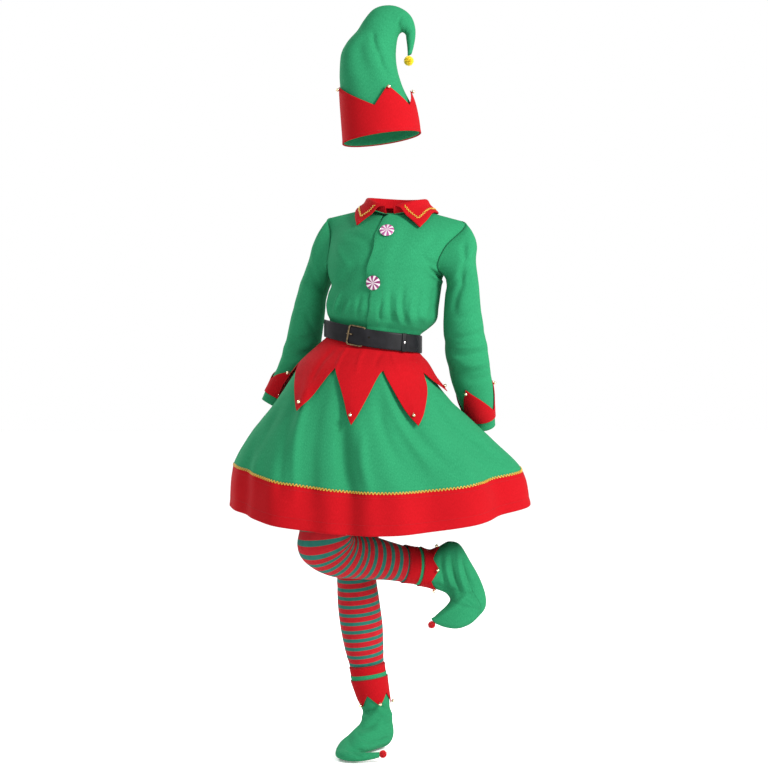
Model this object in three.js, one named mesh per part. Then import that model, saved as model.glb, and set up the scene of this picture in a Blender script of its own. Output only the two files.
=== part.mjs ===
// An elf costume in its worn pose, with nobody in it: a stocking hat, a belted dress with a leaf
// peplum, two striped stockings and two curled boots. Millimetres, +X to the right of the front
// view, +Y away from it, +Z up. The origin is the middle of the neck between the shoulders.
import * as THREE from 'three';

// Cloth and seams
const FLEECE = 2.0;
const HEM_CLOTH = 2.0;
const KNIT = 1.6;
const SEAM = 0.35;
const LAYER = 1.1;

// Dress
const SHOULDER_HALF = 187;
const NECK_WIDE = 66;
const NECK_FRONT = 62;
const NECK_BACK = 62;
const LAP_ANGLE = 9.5;
const LAP_LIFT = 3.5;
const LAP_EDGE = -3.4;
const LAP_SWAY = 1.1;
const LAP_SWAY_Z = -145;
const LAP_SWAY_HALF = 65;
const ARMPIT_Z = -156;
const SHOULDER_Z = 24.8;
const WAIST_SEAM_Z = -323;

// Belt
const BELT_TALL = 44;
const BELT_THICK = 2.4;
const BELT_OUT = 6.8;
const BUCKLE_WIDE = 46;
const BUCKLE_TALL = 52;
const BUCKLE_BAR = 6;
const BUCKLE_THICK = 3;
const KEEPER_WIDE = 13;
const KEEPER_WALL = 1.2;
const RIVET_RADIUS = 3;

// Small parts
const BELL_RADIUS = 4.6;
const BUTTON_RADIUS = 18.5;
const BUTTON_THICK = 5;
const HAT_POMPOM_RADIUS = 13.5;
const BOOT_POMPOM_RADIUS = 10.5;

const costume = new THREE.Group();
costume.name = 'elf_costume';

const green = new THREE.MeshStandardMaterial({ color: 0x3bb374, roughness: 0.95, metalness: 0 });
const red = new THREE.MeshStandardMaterial({ color: 0xe01c26, roughness: 0.95, metalness: 0 });
const gold = new THREE.MeshStandardMaterial({ color: 0xebb946, roughness: 0.6, metalness: 0.2 });
const yellow = new THREE.MeshStandardMaterial({ color: 0xffe128, roughness: 1, metalness: 0 });
const black = new THREE.MeshStandardMaterial({ color: 0x2d2d35, roughness: 0.5, metalness: 0 });
const brass = new THREE.MeshStandardMaterial({ color: 0x9c7f4d, roughness: 0.4, metalness: 1 });
const bellMetal = new THREE.MeshStandardMaterial({ color: 0xc9b98a, roughness: 0.25, metalness: 1 });
const steel = new THREE.MeshStandardMaterial({ color: 0xc8c8c8, roughness: 0.3, metalness: 1 });
const knit = new THREE.MeshStandardMaterial({ color: 0xb83a3a, roughness: 0.9, metalness: 0 });
const candy = new THREE.MeshStandardMaterial({ color: 0xf3dfe8, roughness: 0.2, metalness: 0 });

// Numbers between table rows

const clamp = (value, low, high) => Math.min(Math.max(value, low), high);
const smooth = (value) => {
  const s = clamp(value, 0, 1);
  return s * s * (3 - 2 * s);
};
const degrees = (angle) => (angle * Math.PI) / 180;

// One row of a table at any value of its key column, on a curve through the rows.
function rowAt(rows, key, value) {
  const last = rows.length - 1;
  let i = 0;
  while (i < last - 1 && value > rows[i + 1][key]) i += 1;
  const here = rows[i];
  const next = rows[i + 1];
  const before = rows[Math.max(i - 1, 0)];
  const after = rows[Math.min(i + 2, last)];
  const span = next[key] - here[key];
  const s = clamp((value - here[key]) / span, 0, 1);
  const out = {};
  for (const name of Object.keys(here)) {
    const slopeIn = ((next[name] - before[name]) / (next[key] - before[key])) * span;
    const slopeOut = ((after[name] - here[name]) / (after[key] - here[key])) * span;
    const rise = next[name] - here[name];
    out[name] = here[name] + slopeIn * s + (3 * rise - 2 * slopeIn - slopeOut) * s * s;
    out[name] += (slopeIn + slopeOut - 2 * rise) * s * s * s;
  }
  return out;
}

function evenly(from, to, count) {
  const list = [];
  for (let i = 0; i <= count; i += 1) list.push(from + ((to - from) * i) / count);
  return list;
}

// Surfaces: point(u, v) in space, centre(v) inside the garment

function withNormals(surface, stepU, stepV, testU, testV) {
  const raw = (u, v) => {
    const along = surface.point(u + stepU, v).sub(surface.point(u - stepU, v));
    const down = surface.point(u, v + stepV).sub(surface.point(u, v - stepV));
    return along.cross(down).normalize();
  };
  const outward = surface.point(testU, testV).sub(surface.centre(testV));
  const sign = raw(testU, testV).dot(outward) > 0 ? 1 : -1;
  surface.normal = (u, v) => raw(u, v).multiplyScalar(sign);
  surface.lifted = (u, v, lift) => surface.point(u, v).addScaledVector(surface.normal(u, v), lift);
  return surface;
}

// A tube through rings. Each row gives two opposite points of a ring, a (angle 0) and b (angle
// 180), and half its depth. The ring stands square to the path of its centre.
function tube(rows, sense) {
  const centre = (v) => {
    const row = rowAt(rows, 't', v);
    return new THREE.Vector3((row.ax + row.bx) / 2, (row.ay + row.by) / 2, (row.az + row.bz) / 2);
  };
  const point = (u, v) => {
    const row = rowAt(rows, 't', v);
    const a = new THREE.Vector3(row.ax, row.ay, row.az);
    const b = new THREE.Vector3(row.bx, row.by, row.bz);
    const half = b.clone().sub(a).multiplyScalar(0.5);
    const path = centre(v + 0.04).sub(centre(v - 0.04));
    const deep = half.clone().cross(path).normalize().multiplyScalar(row.deep * sense);
    const angle = degrees(u);
    return a.add(b).multiplyScalar(0.5)
      .addScaledVector(half, -Math.cos(angle))
      .addScaledVector(deep, -Math.sin(angle));
  };
  return withNormals({ point, centre }, 0.5, 0.02, 90, rows[rows.length >> 1].t);
}

// Rows with both ring points at the same distance y from the front view.
function flatRings(rows) {
  return rows.map((row) => ({
    t: row.t, ax: row.ax, ay: row.y, az: row.az, bx: row.bx, by: row.y, bz: row.bz, deep: row.deep,
  }));
}

// Meshes

// A cloth sheet on a surface. The list "across" runs from 0 to 1 along it and "down" from edge to
// edge; place(s, t) gives the surface's own u and v there; lift(s, t) is how far its outside
// stands off the surface.
function clothGeometry({ surface, place, across, down, closed = false, lift = () => 0, thick }) {
  const columns = across.length;
  const rows = down.length;
  const position = [];
  for (const side of [0, 1]) {
    for (const t of down) {
      for (const s of across) {
        const [u, v] = place(s, t);
        const out = surface.lifted(u, v, lift(s, t, u, v) - side * thick);
        position.push(out.x, out.y, out.z);
      }
    }
  }
  const index = [];
  const at = (side, i, j) => side * rows * columns + i * columns + (j % columns);
  const quad = (a, b, c, d) => index.push(a, b, c, a, c, d);
  const cells = closed ? columns : columns - 1;
  for (let i = 0; i < rows - 1; i += 1) {
    for (let j = 0; j < cells; j += 1) {
      quad(at(0, i, j), at(0, i + 1, j), at(0, i + 1, j + 1), at(0, i, j + 1));
      quad(at(1, i, j), at(1, i, j + 1), at(1, i + 1, j + 1), at(1, i + 1, j));
    }
  }
  for (let j = 0; j < cells; j += 1) {
    quad(at(0, 0, j), at(0, 0, j + 1), at(1, 0, j + 1), at(1, 0, j));
    quad(at(0, rows - 1, j), at(1, rows - 1, j), at(1, rows - 1, j + 1), at(0, rows - 1, j + 1));
  }
  if (!closed) {
    const end = columns - 1;
    for (let i = 0; i < rows - 1; i += 1) {
      quad(at(0, i, 0), at(1, i, 0), at(1, i + 1, 0), at(0, i + 1, 0));
      quad(at(0, i, end), at(0, i + 1, end), at(1, i + 1, end), at(1, i, end));
    }
  }
  return facingOut(position, index);
}

// Turns every face round when the solid they enclose comes out negative.
function facingOut(position, index) {
  const corner = (k) => new THREE.Vector3().fromArray(position, index[k] * 3);
  let volume = 0;
  for (let k = 0; k < index.length; k += 3) {
    volume += corner(k).dot(corner(k + 1).cross(corner(k + 2)));
  }
  if (volume < 0) {
    for (let k = 0; k < index.length; k += 3) {
      const held = index[k + 1];
      index[k + 1] = index[k + 2];
      index[k + 2] = held;
    }
  }
  const geometry = new THREE.BufferGeometry();
  geometry.setAttribute('position', new THREE.Float32BufferAttribute(position, 3));
  geometry.setIndex(index);
  return geometry;
}

function add(name, material, geometry) {
  const mesh = new THREE.Mesh(geometry, material);
  mesh.name = name;
  costume.add(mesh);
  return mesh;
}

function cloth(name, material, options) {
  return add(name, material, clothGeometry({ thick: FLEECE, ...options }));
}

// Turns a mesh so that its own Z points along "facing" and its own X lies near "side".
function face(mesh, facing, side) {
  const z = facing.clone().normalize();
  const y = z.clone().cross(side).normalize();
  const x = y.clone().cross(z).normalize();
  mesh.quaternion.setFromRotationMatrix(new THREE.Matrix4().makeBasis(x, y, z));
}

function ball(name, material, centre, radius, sides = 7, rings = 4) {
  const mesh = add(name, material, new THREE.SphereGeometry(radius, sides, rings));
  mesh.position.copy(centre);
  return mesh;
}

// Upper body of the dress

// Sections of the body of the dress. z is the height at the middle, drop what the shoulder slope
// takes off at the shoulder tip, wide the half width, front and back the depths, turn the turn of
// the chest to the left of the front view in degrees, tilt the fall to the right.
const bodyRows = [
  { z: -345, x: -53, y: 0, drop: 0, wide: 117, front: 89, back: 85, turn: 8, tilt: -0.17 },
  { z: -301, x: -47, y: 0, drop: 0, wide: 118, front: 91, back: 87, turn: 8, tilt: -0.17 },
  { z: -284, x: -41, y: 0, drop: 0, wide: 131, front: 108, back: 98, turn: 9, tilt: -0.16 },
  { z: -262, x: -31, y: 0, drop: 0, wide: 144, front: 121, back: 107, turn: 10, tilt: -0.15 },
  { z: -232, x: -25, y: 0, drop: 0, wide: 145, front: 124, back: 108, turn: 12, tilt: -0.12 },
  { z: -200, x: -20, y: 0, drop: 0, wide: 145, front: 126, back: 110, turn: 14, tilt: -0.1 },
  { z: -165, x: -20, y: 0, drop: 0, wide: 151, front: 129, back: 112, turn: 15, tilt: -0.08 },
  { z: -130, x: -16, y: 1, drop: 4, wide: 157, front: 127, back: 112, turn: 16, tilt: -0.06 },
  { z: -95, x: -8, y: 2, drop: 14, wide: 164, front: 118, back: 110, turn: 16.5, tilt: -0.056 },
  { z: -60, x: -1, y: 3, drop: 26, wide: 170, front: 103, back: 104, turn: 16.7, tilt: -0.056 },
  { z: -35, x: 4, y: 4, drop: 34, wide: 175, front: 84, back: 95, turn: 16.7, tilt: -0.056 },
  { z: -14, x: 7, y: 4, drop: 40, wide: 180, front: 63, back: 84, turn: 16.7, tilt: -0.056 },
  { z: 4, x: 8, y: 4, drop: 44, wide: 184, front: 40, back: 66, turn: 16.7, tilt: -0.056 },
  { z: 18, x: 8, y: 4, drop: 46, wide: 186, front: 18, back: 34, turn: 16.7, tilt: -0.056 },
  { z: 26, x: 8, y: 4, drop: 46, wide: 187, front: 0.6, back: 0.6, turn: 16.7, tilt: -0.056 },
];

// Where the armholes cut the sections: the angle from the middle of the front or of the back.
const armholeRows = [
  { z: -156, front: 90, back: 90 },
  { z: -148, front: 76, back: 75 },
  { z: -130, front: 69, back: 67 },
  { z: -100, front: 66, back: 63 },
  { z: -60, front: 67, back: 63 },
  { z: -20, front: 73, back: 68 },
  { z: 4, front: 79, back: 75 },
  { z: 18, front: 82, back: 80 },
  { z: 24.8, front: 70, back: 70 },
  { z: 26, front: 66, back: 66 },
];

// Folds pressed into the body: angle from the middle of the front, half width, height, reach up
// and down, and how far the cloth stands in (minus) or out.
const bodyFolds = [
  { angle: -62, spread: 9, z: -262, reach: 26, out: 5 },
  { angle: -38, spread: 8, z: -272, reach: 22, out: -4 },
  { angle: -14, spread: 9, z: -268, reach: 24, out: 4 },
  { angle: 22, spread: 8, z: -276, reach: 22, out: -4 },
  { angle: 48, spread: 10, z: -266, reach: 26, out: 5 },
  { angle: 130, spread: 12, z: -266, reach: 26, out: 5 },
  { angle: 175, spread: 11, z: -272, reach: 24, out: -4 },
  { angle: 225, spread: 12, z: -266, reach: 26, out: 5 },
  { angle: -78, spread: 12, z: -205, reach: 14, out: -5 },
  { angle: 74, spread: 14, z: -168, reach: 13, out: -4 },
];

const apart = (a, b) => Math.abs(((((a - b + 180) % 360) + 360) % 360) - 180);
const bump = (distance, reach) => Math.exp(-((distance / reach) ** 2));

// The body of the dress. The angle u is 0 at the middle of the front and 90 at the wearer's left.
const body = withNormals({
  centre: (z) => {
    const row = rowAt(bodyRows, 'z', z);
    return new THREE.Vector3(row.x, row.y, row.z);
  },
  point: (u, z) => {
    const row = rowAt(bodyRows, 'z', z);
    const angle = degrees(u);
    let swell = 0;
    for (const fold of bodyFolds) {
      swell += fold.out * bump(apart(u, fold.angle), fold.spread) * bump(z - fold.z, fold.reach);
    }
    const depth = Math.cos(angle) > 0 ? row.front : row.back;
    const across = (row.wide + swell) * Math.sin(angle);
    const away = -(depth + swell) * Math.cos(angle);
    const turn = degrees(row.turn);
    const x = row.x + across * Math.cos(turn) + away * Math.sin(turn);
    const y = row.y - across * Math.sin(turn) + away * Math.cos(turn);
    const fall = row.tilt * (x - row.x) - row.drop * (Math.abs(across) / SHOULDER_HALF);
    return new THREE.Vector3(x, y, row.z + fall);
  },
}, 0.5, 1, 10, -200);

// The angle at which the neck hole cuts a section, 0 below the hole.
function neckAngle(z, isBack) {
  const row = rowAt(bodyRows, 'z', z);
  const depth = isBack ? row.back : row.front;
  const hole = isBack ? NECK_BACK : NECK_FRONT;
  const share = (depth / hole) ** 2;
  if (share >= 1) return 0;
  const across = Math.sqrt((1 - share) / (1 / NECK_WIDE ** 2 - share / row.wide ** 2));
  return (Math.asin(clamp(across / row.wide, 0, 1)) * 180) / Math.PI;
}

const seamAngle = (z) => ((SEAM / rowAt(bodyRows, 'z', z).wide) * 180) / Math.PI;

function sideAngle(z, isBack) {
  if (z <= ARMPIT_Z) return 90 - seamAngle(z);
  const row = rowAt(armholeRows, 'z', z);
  return isBack ? row.back - seamAngle(z) : row.front - seamAngle(z);
}

const bodyHeights = [
  -322.2, -295.6, -282, -262, -234, -200, -172, -156.5, -146, -120, -86, -56, -36, -24, -14, -2, 12,
  24.8,
];

// The wearer's right front, on the left of the front view, lies under and reaches past the middle.
function underInner(z) {
  if (z < -30) return 0.85 * LAP_ANGLE;
  return -Math.max(neckAngle(z, false), 6);
}
cloth('bodice_front_right', green, {
  surface: body,
  across: evenly(0, 1, 9),
  down: bodyHeights,
  place: (s, z) => [underInner(z) - s * (sideAngle(z, false) + underInner(z)), z],
});

// The wearer's left front laps over it and carries the buttons. Its edge sways between them.
function lapEdge(z) {
  const near = 1 - smooth((Math.abs(z - LAP_SWAY_Z) - LAP_SWAY_HALF) / 30);
  return LAP_EDGE + LAP_SWAY * near * Math.sin(Math.PI * (z - LAP_SWAY_Z) / LAP_SWAY_HALF);
}
const lapInner = (z) => (z > -20 ? neckAngle(z, false) : lapEdge(z));
const lapLift = (u) => LAP_LIFT * (1 - smooth((u - LAP_ANGLE - 1) / 12));
cloth('bodice_front_left', green, {
  surface: body,
  across: [0, 0.07, 0.14, 0.22, 0.32, 0.44, 0.58, 0.72, 0.86, 1],
  down: bodyHeights,
  lift: (s, z, u) => lapLift(u),
  place: (s, z) => [lapInner(z) + s * (sideAngle(z, false) - lapInner(z)), z],
});

// The back runs from side seam to side seam. Its middle columns end at the neck hole.
function backTop(share) {
  const top = bodyHeights[bodyHeights.length - 1];
  if (share * sideAngle(top, true) > neckAngle(top, true)) return top;
  let low = -40;
  let high = top;
  for (let i = 0; i < 30; i += 1) {
    const z = (low + high) / 2;
    if (neckAngle(z, true) > share * sideAngle(z, true)) high = z;
    else low = z;
  }
  return low;
}
cloth('bodice_back', green, {
  surface: body,
  across: [-1, -0.83, -0.66, -0.5, -0.36, -0.24, -0.12, 0, 0.12, 0.24, 0.36, 0.5, 0.66, 0.83, 1],
  down: bodyHeights,
  place: (s, z) => {
    const low = bodyHeights[0];
    const share = (backTop(Math.abs(s)) - low) / (bodyHeights[bodyHeights.length - 1] - low);
    const height = low + (z - low) * share;
    return [180 + s * sideAngle(height, true), height];
  },
});

// A pointed edge as a list of angles and edge positions, in steps of about "step" degrees, from
// the valley before the first peak once round.
function zigzag(peaks, valleys, step) {
  const list = [];
  const run = (from, to) => {
    const count = Math.max(2, Math.round(Math.abs(to.angle - from.angle) / step));
    for (let i = 0; i < count; i += 1) {
      const part = i / count;
      list.push({
        angle: from.angle + (to.angle - from.angle) * part,
        edge: from.edge + (to.edge - from.edge) * part,
      });
    }
  };
  peaks.forEach((peak, k) => {
    const before = valleys[(k + valleys.length - 1) % valleys.length];
    const left = { angle: before.angle - (k === 0 ? 360 : 0), edge: before.low };
    const top = { angle: peak.angle, edge: peak.peak };
    run(left, top);
    run(top, { angle: valleys[k].angle, edge: valleys[k].low });
  });
  return list;
}

// Sleeves

// The armhole of one side as a ring: 0 at the shoulder tip, 90 in front, 180 at the armpit.
function armholePoint(angle, side) {
  const z = SHOULDER_Z + (ARMPIT_Z - SHOULDER_Z) * ((1 - Math.cos(degrees(angle))) / 2);
  const row = rowAt(armholeRows, 'z', z);
  const isBack = Math.sin(degrees(angle)) < 0;
  const from = isBack ? 180 - row.back : row.front;
  const out = body.point(side * from, z);
  const turn = degrees(16.7);
  return out.add(new THREE.Vector3(2.4 * side * Math.cos(turn), -2.4 * side * Math.sin(turn), 0));
}

// Rings of the sleeve on the right of the front view, a at the inner and b at the outer side.
const leftArmRows = flatRings([
  { t: 0, ax: 139, az: -169, bx: 206, bz: -35, y: -45, deep: 58 },
  { t: 1, ax: 139, az: -190, bx: 217, bz: -78, y: -48, deep: 57 },
  { t: 2, ax: 134, az: -217, bx: 214, bz: -141, y: -48, deep: 55 },
  { t: 3, ax: 131, az: -258, bx: 223, bz: -225, y: -44, deep: 53 },
  { t: 4, ax: 130, az: -307, bx: 233, bz: -294, y: -32, deep: 53 },
  { t: 5, ax: 134, az: -354, bx: 243, bz: -343, y: -14, deep: 52 },
  { t: 6, ax: 146, az: -413, bx: 252, bz: -400, y: 10, deep: 50 },
  { t: 7, ax: 163, az: -468, bx: 262, bz: -455, y: 37, deep: 46 },
  { t: 8, ax: 185, az: -518, bx: 266, bz: -508, y: 62, deep: 40 },
  { t: 9, ax: 199, az: -538, bx: 268, bz: -531, y: 74, deep: 36 },
  { t: 10, ax: 206, az: -563, bx: 270, bz: -553, y: 84, deep: 33 },
]);

// Rings of the sleeve on the left of the front view, a at the outer and b at the inner side.
const rightArmRows = flatRings([
  { t: 0, ax: -177, az: -12, bx: -150, bz: -160, y: 60, deep: 58 },
  { t: 1, ax: -200, az: -57, bx: -164, bz: -178, y: 72, deep: 56 },
  { t: 2, ax: -225, az: -130, bx: -176, bz: -216, y: 84, deep: 53 },
  { t: 3, ax: -251, az: -203, bx: -181, bz: -264, y: 93, deep: 52 },
  { t: 4, ax: -271, az: -272, bx: -188, bz: -317, y: 106, deep: 50 },
  { t: 5, ax: -287, az: -335, bx: -199, bz: -378, y: 118, deep: 48 },
  { t: 6, ax: -303, az: -391, bx: -218, bz: -434, y: 126, deep: 45 },
  { t: 7, ax: -318, az: -422, bx: -240, bz: -463, y: 129, deep: 42 },
  { t: 8, ax: -331, az: -449, bx: -259, bz: -488, y: 132, deep: 38 },
  { t: 9, ax: -341, az: -469, bx: -273, bz: -504, y: 133, deep: 35 },
  { t: 10, ax: -349, az: -487, bx: -285, bz: -521, y: 134, deep: 33 },
]);

// Folds across a sleeve: ring number, its angle, reach round and along, and height.
const armFolds = [
  { t: 1.7, angle: 95, round: 60, along: 0.3, out: -5 },
  { t: 2.6, angle: 120, round: 55, along: 0.35, out: 4 },
  { t: 4.7, angle: 60, round: 70, along: 0.28, out: -4 },
  { t: 5.3, angle: 70, round: 70, along: 0.28, out: 4 },
  { t: 5.9, angle: 60, round: 60, along: 0.25, out: -4 },
];

function sleeveSurface(rows, sense, side) {
  const arm = tube(rows, sense);
  const point = (u, v) => {
    let swell = 0;
    for (const fold of armFolds) {
      const angle = side > 0 ? fold.angle : 180 - fold.angle;
      swell += fold.out * bump(apart(u, angle), fold.round) * bump(v - fold.t, fold.along);
    }
    const out = arm.point(u, v);
    if (Math.abs(swell) > 0.01) {
      out.add(out.clone().sub(arm.centre(v)).normalize().multiplyScalar(swell));
    }
    if (v >= 1.4) return out;
    const start = armholePoint(side > 0 ? 180 - u : u, side);
    return start.lerp(out, smooth(v / 1.4));
  };
  return withNormals({ point, centre: arm.centre }, 0.5, 0.02, 90, 4);
}

const leftArm = sleeveSurface(leftArmRows, 1, 1);
const rightArm = sleeveSurface(rightArmRows, 1, -1);
const sleeveSteps = [0, 0.4, 0.9, 1.5, 2.1, 2.8, 3.6, 4.4, 4.9, 5.4, 6.2, 7.1, 8, 8.9];
const ring = (count) => evenly(0, 1, count).slice(0, count);

// Points of the red cuffs: angle round the sleeve and the ring that each peak or valley reaches.
const cuffPeaks = {
  left: [{ angle: 66, peak: 6.6 }, { angle: 196, peak: 6.8 }, { angle: 322, peak: 6.9 }],
  right: [{ angle: 76, peak: 6.05 }, { angle: 196, peak: 6.3 }, { angle: 316, peak: 6.3 }],
};
const cuffValleys = {
  left: [{ angle: 150, low: 7.95 }, { angle: 262, low: 7.95 }, { angle: 388, low: 8.0 }],
  right: [{ angle: 138, low: 7.7 }, { angle: 256, low: 7.7 }, { angle: 376, low: 7.4 }],
};

for (const [side, surface] of [['left', leftArm], ['right', rightArm]]) {
  cloth(`sleeve_${side}`, green, {
    surface,
    across: ring(12),
    down: sleeveSteps,
    closed: true,
    place: (s, t) => [360 * s, t],
  });
  // The red cuff lies over the sleeve, its points turned up towards the elbow.
  const cuffEdge = zigzag(cuffPeaks[side], cuffValleys[side], 18);
  cloth(`cuff_points_${side}`, red, {
    surface,
    across: cuffEdge.map((spot, i) => i),
    down: [0, 0.35, 0.7, 1],
    closed: true,
    lift: () => FLEECE + LAYER + (side === 'left' ? 0.85 : 1.05),
    place: (s, t) => [cuffEdge[s].angle, cuffEdge[s].edge + (8.85 - cuffEdge[s].edge) * t],
  });
  cloth(`cuff_band_${side}`, green, {
    surface,
    across: ring(16),
    down: [8.93, 10],
    closed: true,
    lift: () => FLEECE / 2,
    place: (s, t) => [360 * s, t],
  });
}

// Collar

// The collar in the frame of the neck, from the front edge (s 0) to the middle of the back (s 1):
// the angle round the neck, then how far out, sideways and down the outer edge lies.
const collarRows = [
  { s: 0, angle: 9, edgeX: 84, edgeY: -76, edgeZ: -42, rollZ: 10 },
  { s: 0.12, angle: 24, edgeX: 96, edgeY: -53, edgeZ: -22, rollZ: 17 },
  { s: 0.28, angle: 48, edgeX: 104, edgeY: -22, edgeZ: 0, rollZ: 25 },
  { s: 0.46, angle: 78, edgeX: 106, edgeY: 14, edgeZ: 4, rollZ: 32 },
  { s: 0.64, angle: 108, edgeX: 98, edgeY: 52, edgeZ: 4, rollZ: 36 },
  { s: 0.82, angle: 142, edgeX: 62, edgeY: 86, edgeZ: 0, rollZ: 38 },
  { s: 1, angle: 180, edgeX: 0, edgeY: 98, edgeZ: -4, rollZ: 38 },
];
const NECK_TURN = 16.7;
const NECK_MIDDLE = { x: 9, y: 2 };

function fromNeck(x, y, z) {
  const turn = degrees(NECK_TURN);
  return new THREE.Vector3(
    NECK_MIDDLE.x + x * Math.cos(turn) + y * Math.sin(turn),
    NECK_MIDDLE.y - x * Math.sin(turn) + y * Math.cos(turn),
    z - 0.056 * x,
  );
}

// v runs from the neck seam (0) up the stand to the roll (1) and down to the outer edge (2).
const collar = withNormals({
  centre: () => fromNeck(0, 0, -20),
  point: (u, v) => {
    const side = u < 0 ? -1 : 1;
    const row = rowAt(collarRows, 's', 1 - Math.abs(u));
    const angle = degrees(row.angle);
    const seam = new THREE.Vector3(
      side * (NECK_WIDE - 3.5) * Math.sin(angle),
      -(NECK_FRONT - 4.5) * Math.cos(angle),
      Math.min(-12 + 27 * Math.sin(angle / 2) ** 0.8, 18),
    );
    const roll = new THREE.Vector3(
      side * (NECK_WIDE + 3) * Math.sin(angle),
      -(NECK_FRONT + 4) * Math.cos(angle),
      row.rollZ,
    );
    const edge = new THREE.Vector3(side * row.edgeX, row.edgeY, row.edgeZ);
    let out;
    if (v <= 1) {
      out = seam.clone().lerp(roll, v);
      out.z += 3 * v * (1 - v);
    } else {
      const w = v - 1;
      out = roll.clone().lerp(edge, w);
      out.z += 14 * w * (1 - w) + 5 * Math.sin(Math.PI * Math.min(w * 3, 1));
      const away = edge.clone().sub(roll).setZ(0).normalize();
      out.addScaledVector(away, 5 * Math.sin(Math.PI * Math.min(w * 2, 1)));
    }
    return fromNeck(out.x, out.y, out.z);
  },
}, 0.004, 0.02, 0.05, 1.7);

const collarDown = [0, 0.6, 0.95, 1.1, 1.3, 1.65, 2];
cloth('collar', red, {
  surface: collar,
  across: [-1, -0.94, -0.88, -0.78, -0.66, -0.52, -0.36, -0.18, 0,
    0.18, 0.36, 0.52, 0.66, 0.78, 0.88, 0.94, 1],
  down: collarDown,
  place: (s, t) => [s, t],
});
// Gold braid along the outer edge.
cloth('collar_braid', gold, {
  surface: collar,
  thick: 1.2,
  across: [-0.99, -0.94, -0.88, -0.78, -0.66, -0.52, -0.36, -0.18, 0,
    0.18, 0.36, 0.52, 0.66, 0.78, 0.88, 0.94, 0.99],
  down: [1.74, 1.84],
  lift: () => 1.75,
  place: (s, t) => [s, t],
});

// Skirt

// Rings of the skirt from the waist seam (v 0) to the hem (v 1): left and right outline points in
// the front view, the front and back depth, and the height at the front and at the back.
const skirtRows = [
  { v: 0, lx: -170, lz: -304.5, rx: 64, rz: -344.5, front: 89, back: 85, frontZ: -322, backZ: -326.5 },
  { v: 0.05, lx: -171, lz: -326, rx: 66, rz: -365, front: 90, back: 86, frontZ: -350, backZ: -349 },
  { v: 0.08, lx: -184, lz: -338, rx: 72, rz: -374, front: 99, back: 92, frontZ: -366, backZ: -361 },
  { v: 0.16, lx: -236, lz: -388, rx: 88, rz: -395, front: 134, back: 104, frontZ: -405, backZ: -392 },
  { v: 0.28, lx: -268, lz: -437, rx: 110, rz: -440, front: 160, back: 116, frontZ: -458, backZ: -446 },
  { v: 0.42, lx: -306, lz: -494, rx: 148, rz: -486, front: 188, back: 138, frontZ: -524, backZ: -508 },
  { v: 0.56, lx: -341, lz: -541, rx: 205, rz: -541, front: 210, back: 168, frontZ: -589, backZ: -572 },
  { v: 0.68, lx: -373, lz: -586, rx: 262, rz: -593, front: 230, back: 200, frontZ: -650, backZ: -630 },
  { v: 0.8, lx: -409, lz: -656, rx: 333, rz: -664, front: 250, back: 232, frontZ: -716, backZ: -692 },
  { v: 1, lx: -419, lz: -764, rx: 356, rz: -750, front: 284, back: 256, frontZ: -817, backZ: -792 },
];

// Folds of the skirt: angle from the middle of the front, half width in degrees, height, the
// ring where it starts and where it is full.
const skirtFolds = [
  { angle: -66, spread: 7, out: -12, from: 0.3, full: 0.7 },
  { angle: -42, spread: 8, out: 12, from: 0.15, full: 0.6 },
  { angle: -27, spread: 6, out: -11, from: 0.3, full: 0.8 },
  { angle: -12, spread: 5, out: -15, from: 0.3, full: 0.65 },
  { angle: -4, spread: 4.5, out: 7, from: 0.3, full: 0.7 },
  { angle: 6, spread: 6, out: 8, from: 0.25, full: 0.8 },
  { angle: 19, spread: 7, out: -10, from: 0.35, full: 0.8 },
  { angle: 36, spread: 8, out: 11, from: 0.3, full: 0.8 },
  { angle: 54, spread: 7, out: -16, from: 0.3, full: 0.75 },
  { angle: 72, spread: 8, out: 9, from: 0.3, full: 0.8 },
  { angle: 104, spread: 9, out: -14, from: 0.3, full: 0.8 },
  { angle: 126, spread: 9, out: 12, from: 0.25, full: 0.8 },
  { angle: 150, spread: 9, out: -14, from: 0.3, full: 0.8 },
  { angle: 172, spread: 9, out: 12, from: 0.25, full: 0.8 },
  { angle: 195, spread: 9, out: -14, from: 0.3, full: 0.8 },
  { angle: 218, spread: 9, out: 12, from: 0.25, full: 0.8 },
  { angle: 242, spread: 9, out: -14, from: 0.3, full: 0.8 },
  { angle: 264, spread: 8, out: 8, from: 0.3, full: 0.8 },
];

// The skirt. The angle u is 0 at the front and 90 on the right of the front view.
const skirt = withNormals({
  centre: (v) => {
    const row = rowAt(skirtRows, 'v', v);
    return new THREE.Vector3((row.lx + row.rx) / 2, 0, (row.lz + row.rz) / 2);
  },
  point: (u, v) => {
    const row = rowAt(skirtRows, 'v', v);
    const angle = degrees(u);
    let swell = 0;
    for (const fold of skirtFolds) {
      const grow = smooth((v - fold.from) / (fold.full - fold.from));
      if (grow > 0) swell += fold.out * grow * bump(apart(u, fold.angle), fold.spread);
    }
    const sine = Math.sin(angle);
    const cosine = Math.cos(angle);
    const wide = (row.rx - row.lx) / 2 + swell;
    const depth = (cosine > 0 ? row.front : row.back) + swell;
    const turn = degrees(8 * (1 - smooth(v / 0.4)));
    const across = wide * sine;
    const away = -depth * cosine;
    const middle = (row.lz + row.rz) / 2;
    const lean = (row.frontZ - row.backZ) / 2;
    const sag = (row.frontZ + row.backZ) / 2 - middle;
    const z = middle + ((row.rz - row.lz) / 2) * sine + lean * cosine + sag * cosine * cosine;
    return new THREE.Vector3(
      (row.lx + row.rx) / 2 + across * Math.cos(turn) + away * Math.sin(turn),
      -across * Math.sin(turn) + away * Math.cos(turn),
      z,
    );
  },
}, 0.5, 0.01, 10, 0.5);

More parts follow.
